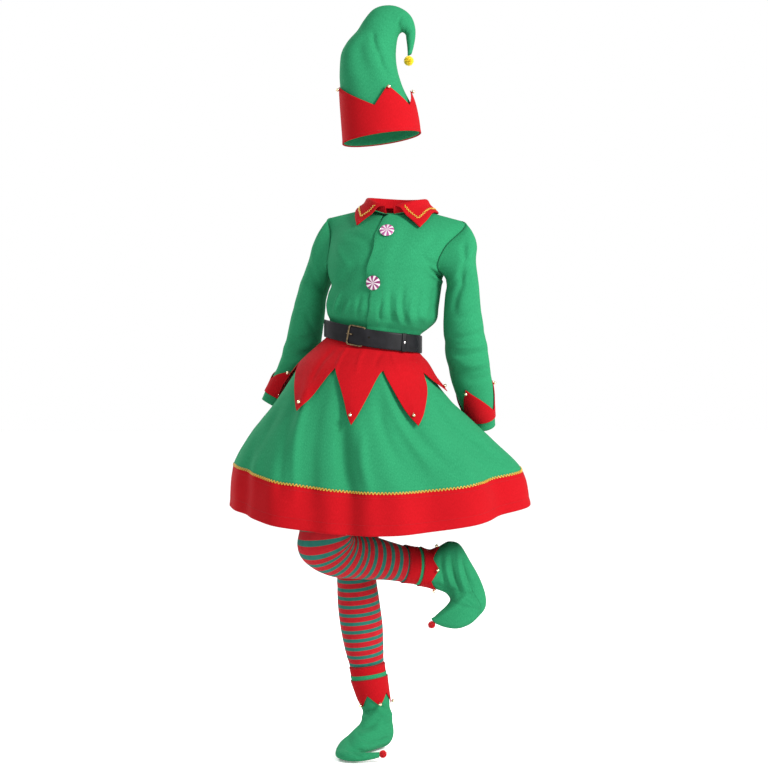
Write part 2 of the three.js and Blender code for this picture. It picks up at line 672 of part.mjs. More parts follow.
const TRIM_V = 0.8;
const sideGap = 0.12;
const halfRound = (side) => evenly(-90 + sideGap, 90 - sideGap, 26).map((a) => a + (side ? 180 : 0));
for (const [name, side] of [['front', 0], ['back', 1]]) {
  cloth(`skirt_${name}`, green, {
    surface: skirt,
    across: halfRound(side),
    down: [0.003, 0.05, 0.085, 0.16, 0.28, 0.42, 0.6, TRIM_V - 0.0012],
    place: (s, t) => [s, t],
  });
  cloth(`hem_band_${name}`, red, {
    surface: skirt,
    across: halfRound(side),
    down: [TRIM_V + 0.0012, 0.9, 1],
    place: (s, t) => [s, t],
  });
  cloth(`hem_braid_${name}`, gold, {
    surface: skirt,
    thick: 1.2,
    across: halfRound(side),
    down: [TRIM_V - 0.011, TRIM_V + 0.011],
    lift: () => 1.75,
    place: (s, t) => [s, t],
  });
}

// The leaf points of the overskirt: the angle of each tip, how far down it reaches, the angle and
// depth of the valley after it, and how hollow (over 1) or full (under 1) its two edges are.
const leaves = [
  { tip: -158, reach: 0.45, valley: -134, notch: 0.19, inEdge: 1, outEdge: 1.1 },
  { tip: -110, reach: 0.44, valley: -78, notch: 0.17, inEdge: 1.1, outEdge: 1 },
  { tip: -41, reach: 0.437, valley: -20.7, notch: 0.175, inEdge: 1.2, outEdge: 1.25 },
  { tip: -6, reach: 0.48, valley: 21, notch: 0.185, inEdge: 1.2, outEdge: 1.35 },
  { tip: 31, reach: 0.51, valley: 62, notch: 0.21, inEdge: 0.9, outEdge: 0.75 },
  { tip: 80, reach: 0.375, valley: 106, notch: 0.19, inEdge: 1.1, outEdge: 1.1 },
  { tip: 129, reach: 0.45, valley: 149, notch: 0.19, inEdge: 1, outEdge: 1 },
  { tip: 167, reach: 0.46, valley: 184, notch: 0.19, inEdge: 1.1, outEdge: 0.9 },
];
const LEAF_OUT = 3.2;
const LEAF_FLARE = 9;
const BELL_SHARE = 0.88;
const LEAF_START = 0.012;
const LEAF_BEND = 0.085;

// Angles and lower edge of the overskirt, round from one valley to the next.
function leafEdge(first, last) {
  const list = [];
  for (let k = first; k <= last; k += 1) {
    const leaf = leaves[k];
    const before = leaves[(k + leaves.length - 1) % leaves.length];
    const start = k === 0 ? before.valley - 360 : before.valley;
    for (const part of [0, 0.36, 0.72, 0.93, 1]) {
      list.push({
        angle: start + (leaf.tip - start) * part,
        edge: leafDepth(before.notch, leaf.reach, part ** leaf.inEdge),
      });
    }
    for (const part of [0.93, 0.72, 0.36]) {
      list.push({
        angle: leaf.valley + (leaf.tip - leaf.valley) * part,
        edge: leafDepth(leaf.notch, leaf.reach, part ** leaf.outEdge),
      });
    }
  }
  const end = leaves[last];
  list.push({ angle: end.valley, edge: end.notch });
  return list;
}
const leafLift = (v) => LEAF_OUT + LEAF_FLARE * smooth((v - 0.06) / 0.33);
const leafDepth = (notch, reach, part) => notch + (reach - notch) * part;

for (const [name, first, last] of [['front', 2, 5], ['back', 6, 9]]) {
  const list = [];
  for (let k = first; k <= last; k += 1) {
    const turnOver = k >= leaves.length ? 360 : 0;
    const j = k % leaves.length;
    leafEdge(j, j).forEach((spot) => list.push({ angle: spot.angle + turnOver, edge: spot.edge }));
    if (k < last) list.pop();
  }
  list[0].angle += 0.15;
  list[list.length - 1].angle -= 0.15;
  cloth(`peplum_${name}`, red, {
    surface: skirt,
    across: list.map((spot, i) => i),
    down: [-0.8, -0.4, 0, 0.22, 0.5, BELL_SHARE, 1],
    lift: (s, t, u, v) => leafLift(v),
    place: (s, t) => {
      if (t < 0) return [list[s].angle, LEAF_START + (t + 0.8) * (LEAF_BEND - LEAF_START) / 0.8];
      return [list[s].angle, LEAF_BEND + (list[s].edge - LEAF_BEND) * t];
    },
  });
}

// Belt

// The belt's line round the waist. The angle u is 0 at the front and v is the height on the strap.
const waist = { x: -52, y: 0, wide: 119, front: 91, back: 87, turn: 8, tilt: -0.17, sag: 9 };
const OVERLAP_FROM = 318;
const OVERLAP_TO = 342;
const belt = withNormals({
  centre: () => new THREE.Vector3(waist.x, waist.y, WAIST_SEAM_Z),
  point: (u, v) => {
    const angle = degrees(u);
    const second = smooth((u - OVERLAP_FROM) / (OVERLAP_TO - OVERLAP_FROM));
    const out = BELT_OUT + BELT_THICK + second * (BELT_THICK + 0.7);
    const turn = degrees(waist.turn);
    const across = (waist.wide + out) * Math.sin(angle);
    const depth = (Math.cos(angle) > 0 ? waist.front : waist.back) + out;
    const away = -depth * Math.cos(angle);
    const x = across * Math.cos(turn) + away * Math.sin(turn);
    const y = -across * Math.sin(turn) + away * Math.cos(turn);
    const low = waist.sag * Math.max(Math.cos(angle), 0) ** 2;
    return new THREE.Vector3(waist.x + x, waist.y + y, WAIST_SEAM_Z + waist.tilt * x - low + v);
  },
}, 0.5, 1, 90, 0);

// The strap starts under the buckle, goes once round and runs on over itself to its cut tip.
const BELT_START = -10;
const BELT_END = 360 + 72;
const BELT_TIP = 9;
cloth('belt_strap', black, {
  surface: belt,
  thick: BELT_THICK,
  across: [...evenly(BELT_START, OVERLAP_FROM, 30), 324, 330, 336, 342, 350, 360, 372, 384, 396, 408, 420, BELT_END],
  down: [1, 0, -1],
  place: (s, t) => {
    const tip = s === BELT_END ? BELT_TIP * Math.abs(t) : 0;
    return [s - tip, (t * BELT_TALL) / 2];
  },
});

// A rounded rectangle as a path, used for the buckle and the keeper.
function roundedBox(target, wide, tall, radius) {
  const x = wide / 2;
  const y = tall / 2;
  target.moveTo(-x + radius, -y);
  target.lineTo(x - radius, -y);
  target.quadraticCurveTo(x, -y, x, -y + radius);
  target.lineTo(x, y - radius);
  target.quadraticCurveTo(x, y, x - radius, y);
  target.lineTo(-x + radius, y);
  target.quadraticCurveTo(-x, y, -x, y - radius);
  target.lineTo(-x, -y + radius);
  target.quadraticCurveTo(-x, -y, -x + radius, -y);
  return target;
}

// A point on the belt with its outward and sideways directions there.
function beltSpot(u, lift) {
  const at = belt.lifted(u, 0, lift);
  const out = belt.normal(u, 0);
  const side = belt.point(u + 1, 0).sub(belt.point(u - 1, 0)).normalize();
  return { at, out, side };
}

const BUCKLE_ANGLE = 347;
const buckleShape = roundedBox(new THREE.Shape(), BUCKLE_WIDE, BUCKLE_TALL, 8);
const hole = new THREE.Path();
roundedBox(hole, BUCKLE_WIDE - 2 * BUCKLE_BAR, BUCKLE_TALL - 2 * BUCKLE_BAR, 4);
buckleShape.holes.push(hole);
const buckle = add('buckle_frame', brass, new THREE.ExtrudeGeometry(buckleShape, {
  depth: BUCKLE_THICK, bevelEnabled: false, curveSegments: 3,
}));
const buckleSpot = beltSpot(BUCKLE_ANGLE, 0.55);
face(buckle, buckleSpot.out, buckleSpot.side);
buckle.position.copy(buckleSpot.at);

// The prong lies across the frame from its left bar and rests on the right one.
const PRONG_LONG = BUCKLE_WIDE - 2;
const prong = add('buckle_prong', brass, new THREE.BoxGeometry(PRONG_LONG, 4.5, 2.4));
face(prong, buckleSpot.out, buckleSpot.side);
prong.position.copy(buckleSpot.at).addScaledVector(buckleSpot.out, BUCKLE_THICK + 0.35 + 1.2);

// The keeper goes round both layers of the strap.
const KEEPER_ANGLE = 360 + 44;
const keeperInside = 2 * BELT_THICK + 0.7 + 2.2;
const keeperShape = roundedBox(new THREE.Shape(), keeperInside + 2 * KEEPER_WALL,
  BELT_TALL + 1.2 + 2 * KEEPER_WALL, 1);
const keeperHole = new THREE.Path();
roundedBox(keeperHole, keeperInside, BELT_TALL + 1.2, 0.4);
keeperShape.holes.push(keeperHole);
const keeper = add('belt_keeper', black, new THREE.ExtrudeGeometry(keeperShape, {
  depth: KEEPER_WIDE, bevelEnabled: false, curveSegments: 1,
}).translate(0, 0, -KEEPER_WIDE / 2));
const keeperSpot = beltSpot(KEEPER_ANGLE, 1.1 - keeperInside / 2);
face(keeper, keeperSpot.side, keeperSpot.out);
keeper.position.copy(keeperSpot.at);

const rivetSpot = beltSpot(KEEPER_ANGLE, 1.1 + KEEPER_WALL + 0.35);
const rivet = add('belt_rivet', steel, new THREE.CylinderGeometry(RIVET_RADIUS * 0.7, RIVET_RADIUS,
  1.4, 12).rotateX(Math.PI / 2));
face(rivet, rivetSpot.out, rivetSpot.side);
rivet.position.copy(rivetSpot.at).addScaledVector(rivetSpot.out, 0.7);

// Buttons on the left front

const buttonProfile = [
  [0, 0], [BUTTON_RADIUS - 2, 0], [BUTTON_RADIUS, 1.6], [BUTTON_RADIUS - 1.5, 3.4],
  [BUTTON_RADIUS * 0.55, BUTTON_THICK], [0, BUTTON_THICK],
].map(([x, y]) => new THREE.Vector2(x, y));
for (const [name, u, z, lift] of [['upper', 5, -58, 0.5], ['lower', 0.5, -194, 1.0]]) {
  const button = add(`button_${name}`, candy,
    new THREE.LatheGeometry(buttonProfile, 18).rotateX(Math.PI / 2));
  const at = body.lifted(u, z, LAP_LIFT + lift);
  face(button, body.normal(u, z), new THREE.Vector3(1, 0, 0));
  button.position.copy(at);
}

// Bells on the overskirt's tips

leaves.forEach((leaf, i) => {
  const v = LEAF_BEND + (leaf.reach - LEAF_BEND) * BELL_SHARE;
  const lift = leafLift(v) + BELL_RADIUS + 0.3;
  ball(`peplum_bell_${i + 1}`, bellMetal, skirt.lifted(leaf.tip, v, lift), BELL_RADIUS);
});

// Hat

// Rings of the crown from the brim up, over the top and down the hanging tail.
const crownRows = flatRings([
  { t: 0, ax: -128, az: 176, bx: 69, bz: 205, y: -2, deep: 92 },
  { t: 1, ax: -131, az: 225, bx: 61, bz: 243, y: -1, deep: 90 },
  { t: 2, ax: -135, az: 278, bx: 47, bz: 280, y: 0, deep: 86 },
  { t: 3, ax: -138, az: 326, bx: 28, bz: 318, y: 1, deep: 79 },
  { t: 4, ax: -139, az: 369, bx: 14, bz: 358, y: 2, deep: 70 },
  { t: 5, ax: -135, az: 411, bx: 8, bz: 400, y: 2, deep: 60 },
  { t: 6, ax: -120, az: 440, bx: 9, bz: 430, y: 2, deep: 53 },
  { t: 7, ax: -99, az: 466, bx: 12, bz: 450, y: 2, deep: 47 },
  { t: 8, ax: -78, az: 497, bx: 16, bz: 461, y: 1, deep: 41 },
  { t: 9, ax: -49, az: 528, bx: 20, bz: 465, y: 0, deep: 36 },
  { t: 10, ax: -13, az: 537, bx: 24, bz: 467, y: -1, deep: 31 },
  { t: 11, ax: 21, az: 529, bx: 28, bz: 465, y: -2, deep: 27 },
  { t: 12, ax: 46, az: 510, bx: 32, bz: 461, y: -3, deep: 22 },
  { t: 13, ax: 57, az: 484, bx: 34, bz: 451, y: -4, deep: 17 },
  { t: 14, ax: 58, az: 458, bx: 36, bz: 437, y: -5, deep: 13 },
  { t: 15, ax: 54, az: 432, bx: 37.5, bz: 420, y: -6, deep: 9 },
  { t: 16, ax: 48.5, az: 410, bx: 37.5, bz: 405.5, y: -7, deep: 6 },
]);
const crownTube = tube(crownRows, -1);
const crownFolds = [
  { t: 3.4, angle: 86, round: 20, along: 1.6, out: -7 },
  { t: 5.2, angle: 72, round: 18, along: 1.4, out: -6 },
  { t: 2.9, angle: 40, round: 28, along: 0.5, out: -3 },
  { t: 7.4, angle: 30, round: 40, along: 0.6, out: -4 },
];
const crown = withNormals({
  centre: crownTube.centre,
  point: (u, v) => {
    const out = crownTube.point(u, v);
    let swell = 0;
    for (const fold of crownFolds) {
      swell += fold.out * bump(apart(u, fold.angle), fold.round) * bump(v - fold.t, fold.along);
    }
    return out.add(out.clone().sub(crownTube.centre(v)).normalize().multiplyScalar(swell));
  },
}, 0.5, 0.02, 90, 4);

const crownSteps = [0.05, 1, 2, 3, 4, 5, 6, 7, 8, 9, 10, 11, 12, 13, 14.3, 16];
for (const [name, from] of [['front', 0], ['back', 180]]) {
  cloth(`hat_crown_${name}`, green, {
    surface: crown,
    across: evenly(0, 1, 8),
    down: crownSteps,
    place: (s, t) => {
      const row = rowAt(crownRows, 't', t);
      const gap = ((SEAM + 0.1) / Math.min(row.deep, 60)) * (180 / Math.PI);
      return [from + gap + s * (180 - 2 * gap), t];
    },
  });
}

const brimRows = flatRings([
  { t: 0, ax: -128, az: 176, bx: 69, bz: 205, y: -2, deep: 92 },
  { t: 1, ax: -131, az: 225, bx: 64, bz: 243, y: -1, deep: 91 },
  { t: 2, ax: -135, az: 278, bx: 56, bz: 281, y: 0, deep: 89 },
  { t: 3, ax: -138, az: 326, bx: 43, bz: 316, y: 1, deep: 86 },
]);
const brim = tube(brimRows, -1);
const BRIM_OUT = FLEECE + LAYER + 0.55;
// Peaks and valleys of the folded-up brim, round from the left of the front view.
const brimPeaks = [
  { angle: 12, peak: 2.9 }, { angle: 110, peak: 2.85 }, { angle: 168, peak: 2.85 },
  { angle: 235, peak: 2.9 }, { angle: 304, peak: 2.9 },
];
const brimValleys = [{ angle: 84, low: 1.6 }, { angle: 143, low: 1.65 }, { angle: 203, low: 1.7 },
  { angle: 270, low: 1.7 }, { angle: 339, low: 1.7 }];

const brimEdge = zigzag(brimPeaks, brimValleys, 13);
cloth('hat_brim', red, {
  surface: brim,
  closed: true,
  across: brimEdge.map((spot, i) => i),
  down: [0, 0.5, 0.95, 1],
  lift: () => BRIM_OUT,
  place: (s, t) => [brimEdge[s].angle, brimEdge[s].edge * t],
});
brimPeaks.forEach((spot, i) => {
  const at = brim.lifted(spot.angle, spot.peak * 0.95, BRIM_OUT + BELL_RADIUS + 0.3);
  ball(`hat_bell_${i + 1}`, bellMetal, at, BELL_RADIUS);
});
ball('hat_pompom', yellow, new THREE.Vector3(41, -8, 391.6), HAT_POMPOM_RADIUS, 12, 8);

// Stockings

// Rings of a stocking: a is the back of the leg and b the front of it.
const raisedLegRows = [
  { t: 0, ax: 30, ay: -92, az: -690, bx: -98, by: -100, bz: -606, deep: 70 },
  { t: 1, ax: 0, ay: -108, az: -729, bx: -137, by: -114, bz: -645, deep: 68 },
  { t: 2, ax: -46, ay: -118, az: -786, bx: -175, by: -122, bz: -710, deep: 64 },
  { t: 3, ax: -84, ay: -128, az: -806, bx: -208, by: -131, bz: -753, deep: 61 },
  { t: 4, ax: -100, ay: -134, az: -814, bx: -228, by: -136, bz: -787, deep: 60 },
  { t: 5, ax: -104, ay: -136, az: -820, bx: -238, by: -138, bz: -823, deep: 59 },
  { t: 6, ax: -104, ay: -134, az: -824, bx: -242, by: -135, bz: -856, deep: 58 },
  { t: 7, ax: -103, ay: -126, az: -826, bx: -231, by: -125, bz: -887, deep: 57 },
  { t: 8, ax: -101, ay: -112, az: -828, bx: -198, by: -110, bz: -916, deep: 55 },
  { t: 9, ax: -94, ay: -92, az: -828, bx: -156, by: -90, bz: -936, deep: 54 },
  { t: 10, ax: -78, ay: -66, az: -830, bx: -113, by: -64, bz: -944, deep: 53 },
  { t: 11, ax: -47, ay: -40, az: -840, bx: -70, by: -38, bz: -950, deep: 51 },
  { t: 12, ax: -8, ay: -14, az: -855, bx: -26, by: -13, bz: -954, deep: 48 },
  { t: 13, ax: 29, ay: 6, az: -868, bx: 16, by: 7, bz: -961, deep: 44 },
  { t: 14, ax: 60, ay: 20, az: -877, bx: 50, by: 20, bz: -966, deep: 42 },
];
const standingLegRows = [
  { t: 0, ax: -181, ay: 72, az: -694, bx: -17, by: 72, bz: -694, deep: 74 },
  { t: 1, ax: -174, ay: 71, az: -735, bx: -20, by: 71, bz: -735, deep: 71 },
  { t: 2, ax: -165, ay: 68, az: -800, bx: -29, by: 68, bz: -798, deep: 65 },
  { t: 3, ax: -155, ay: 65, az: -870, bx: -39, by: 65, bz: -863, deep: 58 },
  { t: 4, ax: -150, ay: 63, az: -920, bx: -44, by: 63, bz: -912, deep: 54 },
  { t: 5, ax: -147, ay: 63, az: -969, bx: -44, by: 63, bz: -958, deep: 53 },
  { t: 6, ax: -145, ay: 62, az: -1030, bx: -35, by: 62, bz: -1018, deep: 55 },
  { t: 7, ax: -137, ay: 60, az: -1094, bx: -27, by: 60, bz: -1080, deep: 53 },
  { t: 8, ax: -126, ay: 58, az: -1147, bx: -25, by: 58, bz: -1132, deep: 49 },
  { t: 9, ax: -111, ay: 57, az: -1195, bx: -24.5, by: 57, bz: -1182, deep: 42 },
  { t: 10, ax: -96, ay: 56, az: -1234, bx: -28, by: 56, bz: -1226, deep: 35 },
];
const raisedLeg = tube(raisedLegRows, -1);
const standingLeg = tube(standingLegRows, 1);
cloth('stocking_left', knit, {
  surface: raisedLeg,
  thick: KNIT,
  closed: true,
  across: ring(14),
  down: [0, 1, 2, 3, 4, 5.2, 6.4, 7.4, 8.4, 9.4, 10.4, 12, 13, 14],
  place: (s, t) => [360 * s, t],
});
cloth('stocking_right', knit, {
  surface: standingLeg,
  thick: KNIT,
  closed: true,
  across: ring(14),
  down: [0, 1.5, 3, 4, 5, 6, 7.5, 9, 10],
  place: (s, t) => [360 * s, t],
});

// Boots

// Rings of a boot: a is the heel and sole side, b the instep side, sole half the width of the
// sole piece in degrees round the ring.
const raisedBootRows = [
  { t: 0, ax: 34, ay: 9, az: -866, bx: 22, by: 9, bz: -965, deep: 47, sole: 0 },
  { t: 1, ax: 66, ay: 22, az: -874, bx: 58, by: 22, bz: -970, deep: 46, sole: 0 },
  { t: 2, ax: 98, ay: 30, az: -884, bx: 90, by: 30, bz: -976, deep: 45, sole: 0 },
  { t: 3, ax: 123, ay: 32, az: -871, bx: 113, by: 32, bz: -984, deep: 44, sole: 0 },
  { t: 4, ax: 148, ay: 34, az: -859, bx: 136, by: 34, bz: -993, deep: 43, sole: 0 },
  { t: 5, ax: 176, ay: 34, az: -868, bx: 146, by: 34, bz: -1003, deep: 42, sole: 24 },
  { t: 6, ax: 202, ay: 32, az: -910, bx: 149, by: 32, bz: -1013, deep: 42, sole: 50 },
  { t: 7, ax: 226, ay: 28, az: -953, bx: 145, by: 28, bz: -1021, deep: 42, sole: 62 },
  { t: 8, ax: 242, ay: 22, az: -996, bx: 136, by: 22, bz: -1030, deep: 41, sole: 60 },
  { t: 9, ax: 242, ay: 16, az: -1029, bx: 125, by: 16, bz: -1039, deep: 37, sole: 40 },
  { t: 10, ax: 224, ay: 10, az: -1052, bx: 116, by: 10, bz: -1046, deep: 31, sole: 16 },
  { t: 11, ax: 200, ay: 4, az: -1072, bx: 109, by: 4, bz: -1051, deep: 25, sole: 0 },
  { t: 12, ax: 169, ay: 0, az: -1083, bx: 104, by: 0, bz: -1054, deep: 18, sole: 0 },
  { t: 13, ax: 137, ay: -2, az: -1080, bx: 100, by: -2, bz: -1056, deep: 12, sole: 0 },
  { t: 14, ax: 113, ay: -3, az: -1071, bx: 101, by: -3, bz: -1060, deep: 7.5, sole: 0 },
];
const standingBootRows = [
  { t: 0, ax: -40, ay: 93, az: -1183, bx: -96, by: 19, bz: -1189, deep: 47.5, sole: 0 },
  { t: 1, ax: -35, ay: 92, az: -1219, bx: -89, by: 20, bz: -1225, deep: 45.5, sole: 0 },
  { t: 2, ax: -28, ay: 89, az: -1262, bx: -77, by: 24, bz: -1264, deep: 41, sole: 0 },
  { t: 3, ax: -22, ay: 89, az: -1302, bx: -67, by: 29, bz: -1298, deep: 38, sole: 0 },
  { t: 4, ax: -14, ay: 93, az: -1340, bx: -66, by: 25, bz: -1318, deep: 38, sole: 0 },
  { t: 5, ax: -10, ay: 96, az: -1380, bx: -76, by: 12, bz: -1332, deep: 39, sole: 24 },
  { t: 6, ax: -26, ay: 78, az: -1402, bx: -88, by: -4, bz: -1343, deep: 41, sole: 50 },
  { t: 7, ax: -54, ay: 40, az: -1404, bx: -100, by: -22, bz: -1353, deep: 43, sole: 60 },
  { t: 8, ax: -84, ay: -2, az: -1404, bx: -112, by: -42, bz: -1363, deep: 42, sole: 60 },
  { t: 9, ax: -106, ay: -38, az: -1404, bx: -124, by: -62, bz: -1372, deep: 34, sole: 42 },
  { t: 10, ax: -120, ay: -66, az: -1404, bx: -130, by: -78, bz: -1378, deep: 24, sole: 18 },
  { t: 11, ax: -126, ay: -92, az: -1403, bx: -126, by: -95, bz: -1379, deep: 17, sole: 0 },
  { t: 12, ax: -112, ay: -113, az: -1403, bx: -110, by: -109, bz: -1380, deep: 14, sole: 0 },
  { t: 13, ax: -86, ay: -121, az: -1402, bx: -86, by: -117, bz: -1380, deep: 11.5, sole: 0 },
  { t: 14, ax: -58, ay: -120, az: -1398, bx: -58, by: -117, bz: -1380, deep: 9, sole: 0 },
  { t: 15, ax: -36, ay: -117, az: -1393, bx: -36, by: -115, bz: -1379, deep: 7, sole: 0 },
];

const bootEdges = {
  left: { bandTop: 0, bandEnd: 0.93, lowerEnd: 1.18, cuffFrom: 1.195, tips: 2.95, notches: 2.05 },
  right: { bandTop: 0, bandEnd: 0.62, lowerEnd: 0.92, cuffFrom: 0.935, tips: 2.75, notches: 1.95 },
};

function boot(side, rows, sense, ahead, steps) {
  const surface = tube(rows, sense);
  const end = rows[rows.length - 1].t;
  const edges = bootEdges[side];
  const gap = (t) => ((SEAM + 0.15) / rowAt(rows, 't', t).deep) * (180 / Math.PI);
  cloth(`boot_upper_${side}`, green, {
    surface,
    across: evenly(0, 1, 12),
    down: [edges.lowerEnd + 0.014, ...steps, end],
    place: (s, t) => {
      const cut = Math.max(rowAt(rows, 't', t).sole, 0) + gap(t);
      return [cut + s * (360 - 2 * cut), t];
    },
  });
  cloth(`boot_sole_${side}`, green, {
    surface,
    across: [-1, -0.5, 0, 0.5, 1],
    down: [4.35, 5, 6, 7, 8, 9, 10, 10.5],
    place: (s, t) => [s * (Math.max(rowAt(rows, 't', t).sole, 1.5 * gap(t)) - gap(t)), t],
  });
  const round = [['boot_band', red, edges.bandTop, edges.bandEnd, 0.2],
    ['boot_lower_band', green, edges.bandEnd + 0.012, edges.lowerEnd, 1.4]];
  for (const [name, material, from, to, lift] of round) {
    cloth(`${name}_${side}`, material, {
      surface,
      closed: true,
      across: ring(16),
      down: [from, to],
      lift: () => lift,
      place: (s, t) => [360 * s, t],
    });
  }
  cloth(`boot_points_${side}`, red, {
    surface,
    closed: true,
    across: ring(20),
    down: [0, 0.5, 1],
    lift: () => FLEECE + LAYER + 1,
    place: (s, t) => {
      const near = 1 - Math.abs(((s * 5 + 0.25) % 1) - 0.5) * 2;
      const low = edges.notches + (edges.tips - edges.notches) * near;
      return [360 * s, edges.cuffFrom + (low - edges.cuffFrom) * t];
    },
  });
  const tip = surface.centre(end);
  const narrow = rows[rows.length - 1].deep - FLEECE - 0.4;
  const reach = Math.sqrt(BOOT_POMPOM_RADIUS ** 2 - narrow ** 2) + 0.45;
  ball(`boot_pompom_${side}`, red, tip.addScaledVector(ahead, reach), BOOT_POMPOM_RADIUS, 10, 7);
}
boot('left', raisedBootRows, -1, new THREE.Vector3(-0.68, 0, -0.73), [2, 3, 4, 5, 6, 7, 8, 9, 10, 11, 12, 13]);
boot('right', standingBootRows, 1, new THREE.Vector3(0.98, 0.1, 0.14),
  [2, 3, 4, 5, 6, 7, 8, 9, 10, 11, 12, 13, 14]);

export default costume;
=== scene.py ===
# The elf costume with its cloth, trims and light. Sizes are in millimetres until a mesh is made;
# +X is to the right of the front view, +Y away from it, +Z up, and the origin is the neck's middle.
import math

import bpy
import numpy as np
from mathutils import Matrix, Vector


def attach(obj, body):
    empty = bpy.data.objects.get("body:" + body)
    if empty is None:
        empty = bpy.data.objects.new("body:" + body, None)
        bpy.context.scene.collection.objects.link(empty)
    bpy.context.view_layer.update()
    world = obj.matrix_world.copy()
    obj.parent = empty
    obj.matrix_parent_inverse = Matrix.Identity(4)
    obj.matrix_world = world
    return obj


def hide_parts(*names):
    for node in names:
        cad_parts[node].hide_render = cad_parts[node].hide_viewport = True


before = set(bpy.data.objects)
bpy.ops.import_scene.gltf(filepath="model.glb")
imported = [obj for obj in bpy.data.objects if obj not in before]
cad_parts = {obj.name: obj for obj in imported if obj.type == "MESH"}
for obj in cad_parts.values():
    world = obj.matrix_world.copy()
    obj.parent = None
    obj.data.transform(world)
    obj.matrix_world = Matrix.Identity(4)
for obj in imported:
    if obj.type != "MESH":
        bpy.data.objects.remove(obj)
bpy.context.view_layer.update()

MM = 0.001
FLEECE = 2.0
KNIT = 1.6
SEAM = 0.35
LAYER = 1.1

# Dress sizes
SHOULDER_HALF = 187
NECK_WIDE = 66
NECK_FRONT = 62
NECK_BACK = 62
LAP_ANGLE = 9.5
LAP_LIFT = 3.5
LAP_EDGE = -3.4
LAP_SWAY = 2.2
LAP_GAPE = 3.6
LAP_GAPE_Z = -125
LAP_SWAY_Z = -145
LAP_SWAY_HALF = 65
LAP_SWAY_FADE = 30
LAP_GAPE_HALF = 30
LAP_GAPE_FADE = 25
LAP_GAPE_REACH = 4
ARMPIT_Z = -156
SHOULDER_Z = 24.8
SHOULDER_TURN = math.radians(16.7)
SHOULDER_TILT = 0.056
ARMHOLE_OUT = 2.4
WAIST_SEAM_Z = -323
TRIM_V = 0.8
CUFF_POINTS_END = 8.85
CUFF_BAND_START = 8.93
CUFF_POINTS_OUT = {"left": FLEECE + LAYER + 0.85, "right": FLEECE + LAYER + 1.05}
BOOT_POINTS_OUT = FLEECE + LAYER + 1
ALLOWANCE_INSIDE = 2.9
STITCH_LIFT = 0.12

# Belt sizes
BELT_TALL = 44
BELT_THICK = 2.4
BELT_OUT = 6.8
OVERLAP_FROM = 318
OVERLAP_TO = 342
BELT_START = -10
BELT_END = 432
BELT_TIP = 9
BUCKLE_ANGLE = 347
BUCKLE_WIDE = 46
BUCKLE_TALL = 52
KEEPER_ANGLE = 404
KEEPER_WIDE = 13
BELT_HOLES = ((0, -9.5), (2, 32))
DEGREES_PER_MM = 0.47

BELL_RADIUS = 4.6
BELL_LIFT = BELL_RADIUS + 0.3
BUTTON_RADIUS = 18.5
HAT_POMPOM_RADIUS = 13.5
BOOT_POMPOM_RADIUS = 10.5


# Numbers

def table(columns, *rows):
    """Rows of numbers as one array for each named column."""
    names = columns.split()
    return {name: np.array([row[i] for row in rows], float) for i, name in enumerate(names)}


def row_at(rows, key, value):
    """Every column of a table at values of its key, on a curve through the rows."""
    keys = rows[key]
    last = len(keys) - 1
    value = np.asarray(value, float)
    i = np.clip(np.searchsorted(keys, value, side="left") - 1, 0, last - 1)
    before = np.maximum(i - 1, 0)
    after = np.minimum(i + 2, last)
    span = keys[i + 1] - keys[i]
    s = np.clip((value - keys[i]) / span, 0, 1)
    out = {}
    for name, column in rows.items():
        here = column[i]
        rise = column[i + 1] - here
        slope_in = (column[i + 1] - column[before]) / (keys[i + 1] - keys[before]) * span
        slope_out = (column[after] - here) / (keys[after] - keys[i]) * span
        out[name] = here + slope_in * s + (3 * rise - 2 * slope_in - slope_out) * s * s
        out[name] += (slope_in + slope_out - 2 * rise) * s ** 3
    return out


def smooth(value):
    s = np.clip(value, 0, 1)
    return s * s * (3 - 2 * s)


def bump(distance, reach):
    return np.exp(-((distance / reach) ** 2))


def apart(a, b):
    return np.abs((np.asarray(a) - b + 180) % 360 - 180)


def vec(x, y, z):
    return np.stack(np.broadcast_arrays(x, y, z), axis=-1).astype(float)


def paired(u, v):
    """Both coordinates as arrays of one shape."""
    return np.broadcast_arrays(np.asarray(u, float), np.asarray(v, float))


def grid_cells(rows, cols):
    """The row and the column of every cell of a grid."""
    return (a.ravel() for a in np.meshgrid(np.arange(rows), np.arange(cols), indexing="ij"))


def unit(v):
    return v / np.maximum(np.linalg.norm(v, axis=-1, keepdims=True), 1e-9)


def finer(values, *counts):
    """A list of values with each step cut into the given counts of parts."""
    out = [values[0]]
    for k in range(len(values) - 1):
        count = counts[min(k, len(counts) - 1)]
        step = (values[k + 1] - values[k]) / count
        out.extend(values[k] + step * (n + 1) for n in range(count))
    return np.array(out, float)


# Surfaces

class Surface:
    """A form with places point(u, v) and a middle centre(v); normals face away from the middle."""

    def __init__(self, point, centre, step_u, step_v, test_u, test_v):
        self.point = point
        self.centre = centre
        self.step_u = step_u
        self.step_v = step_v
        self.sign = 1.0
        out = point(test_u, test_v) - centre(test_v)
        self.sign = 1.0 if float(np.sum(self.normal(test_u, test_v) * out)) > 0 else -1.0

    def normal(self, u, v):
        along = self.point(u + self.step_u, v) - self.point(u - self.step_u, v)
        down = self.point(u, v + self.step_v) - self.point(u, v - self.step_v)
        return self.sign * unit(np.cross(along, down))


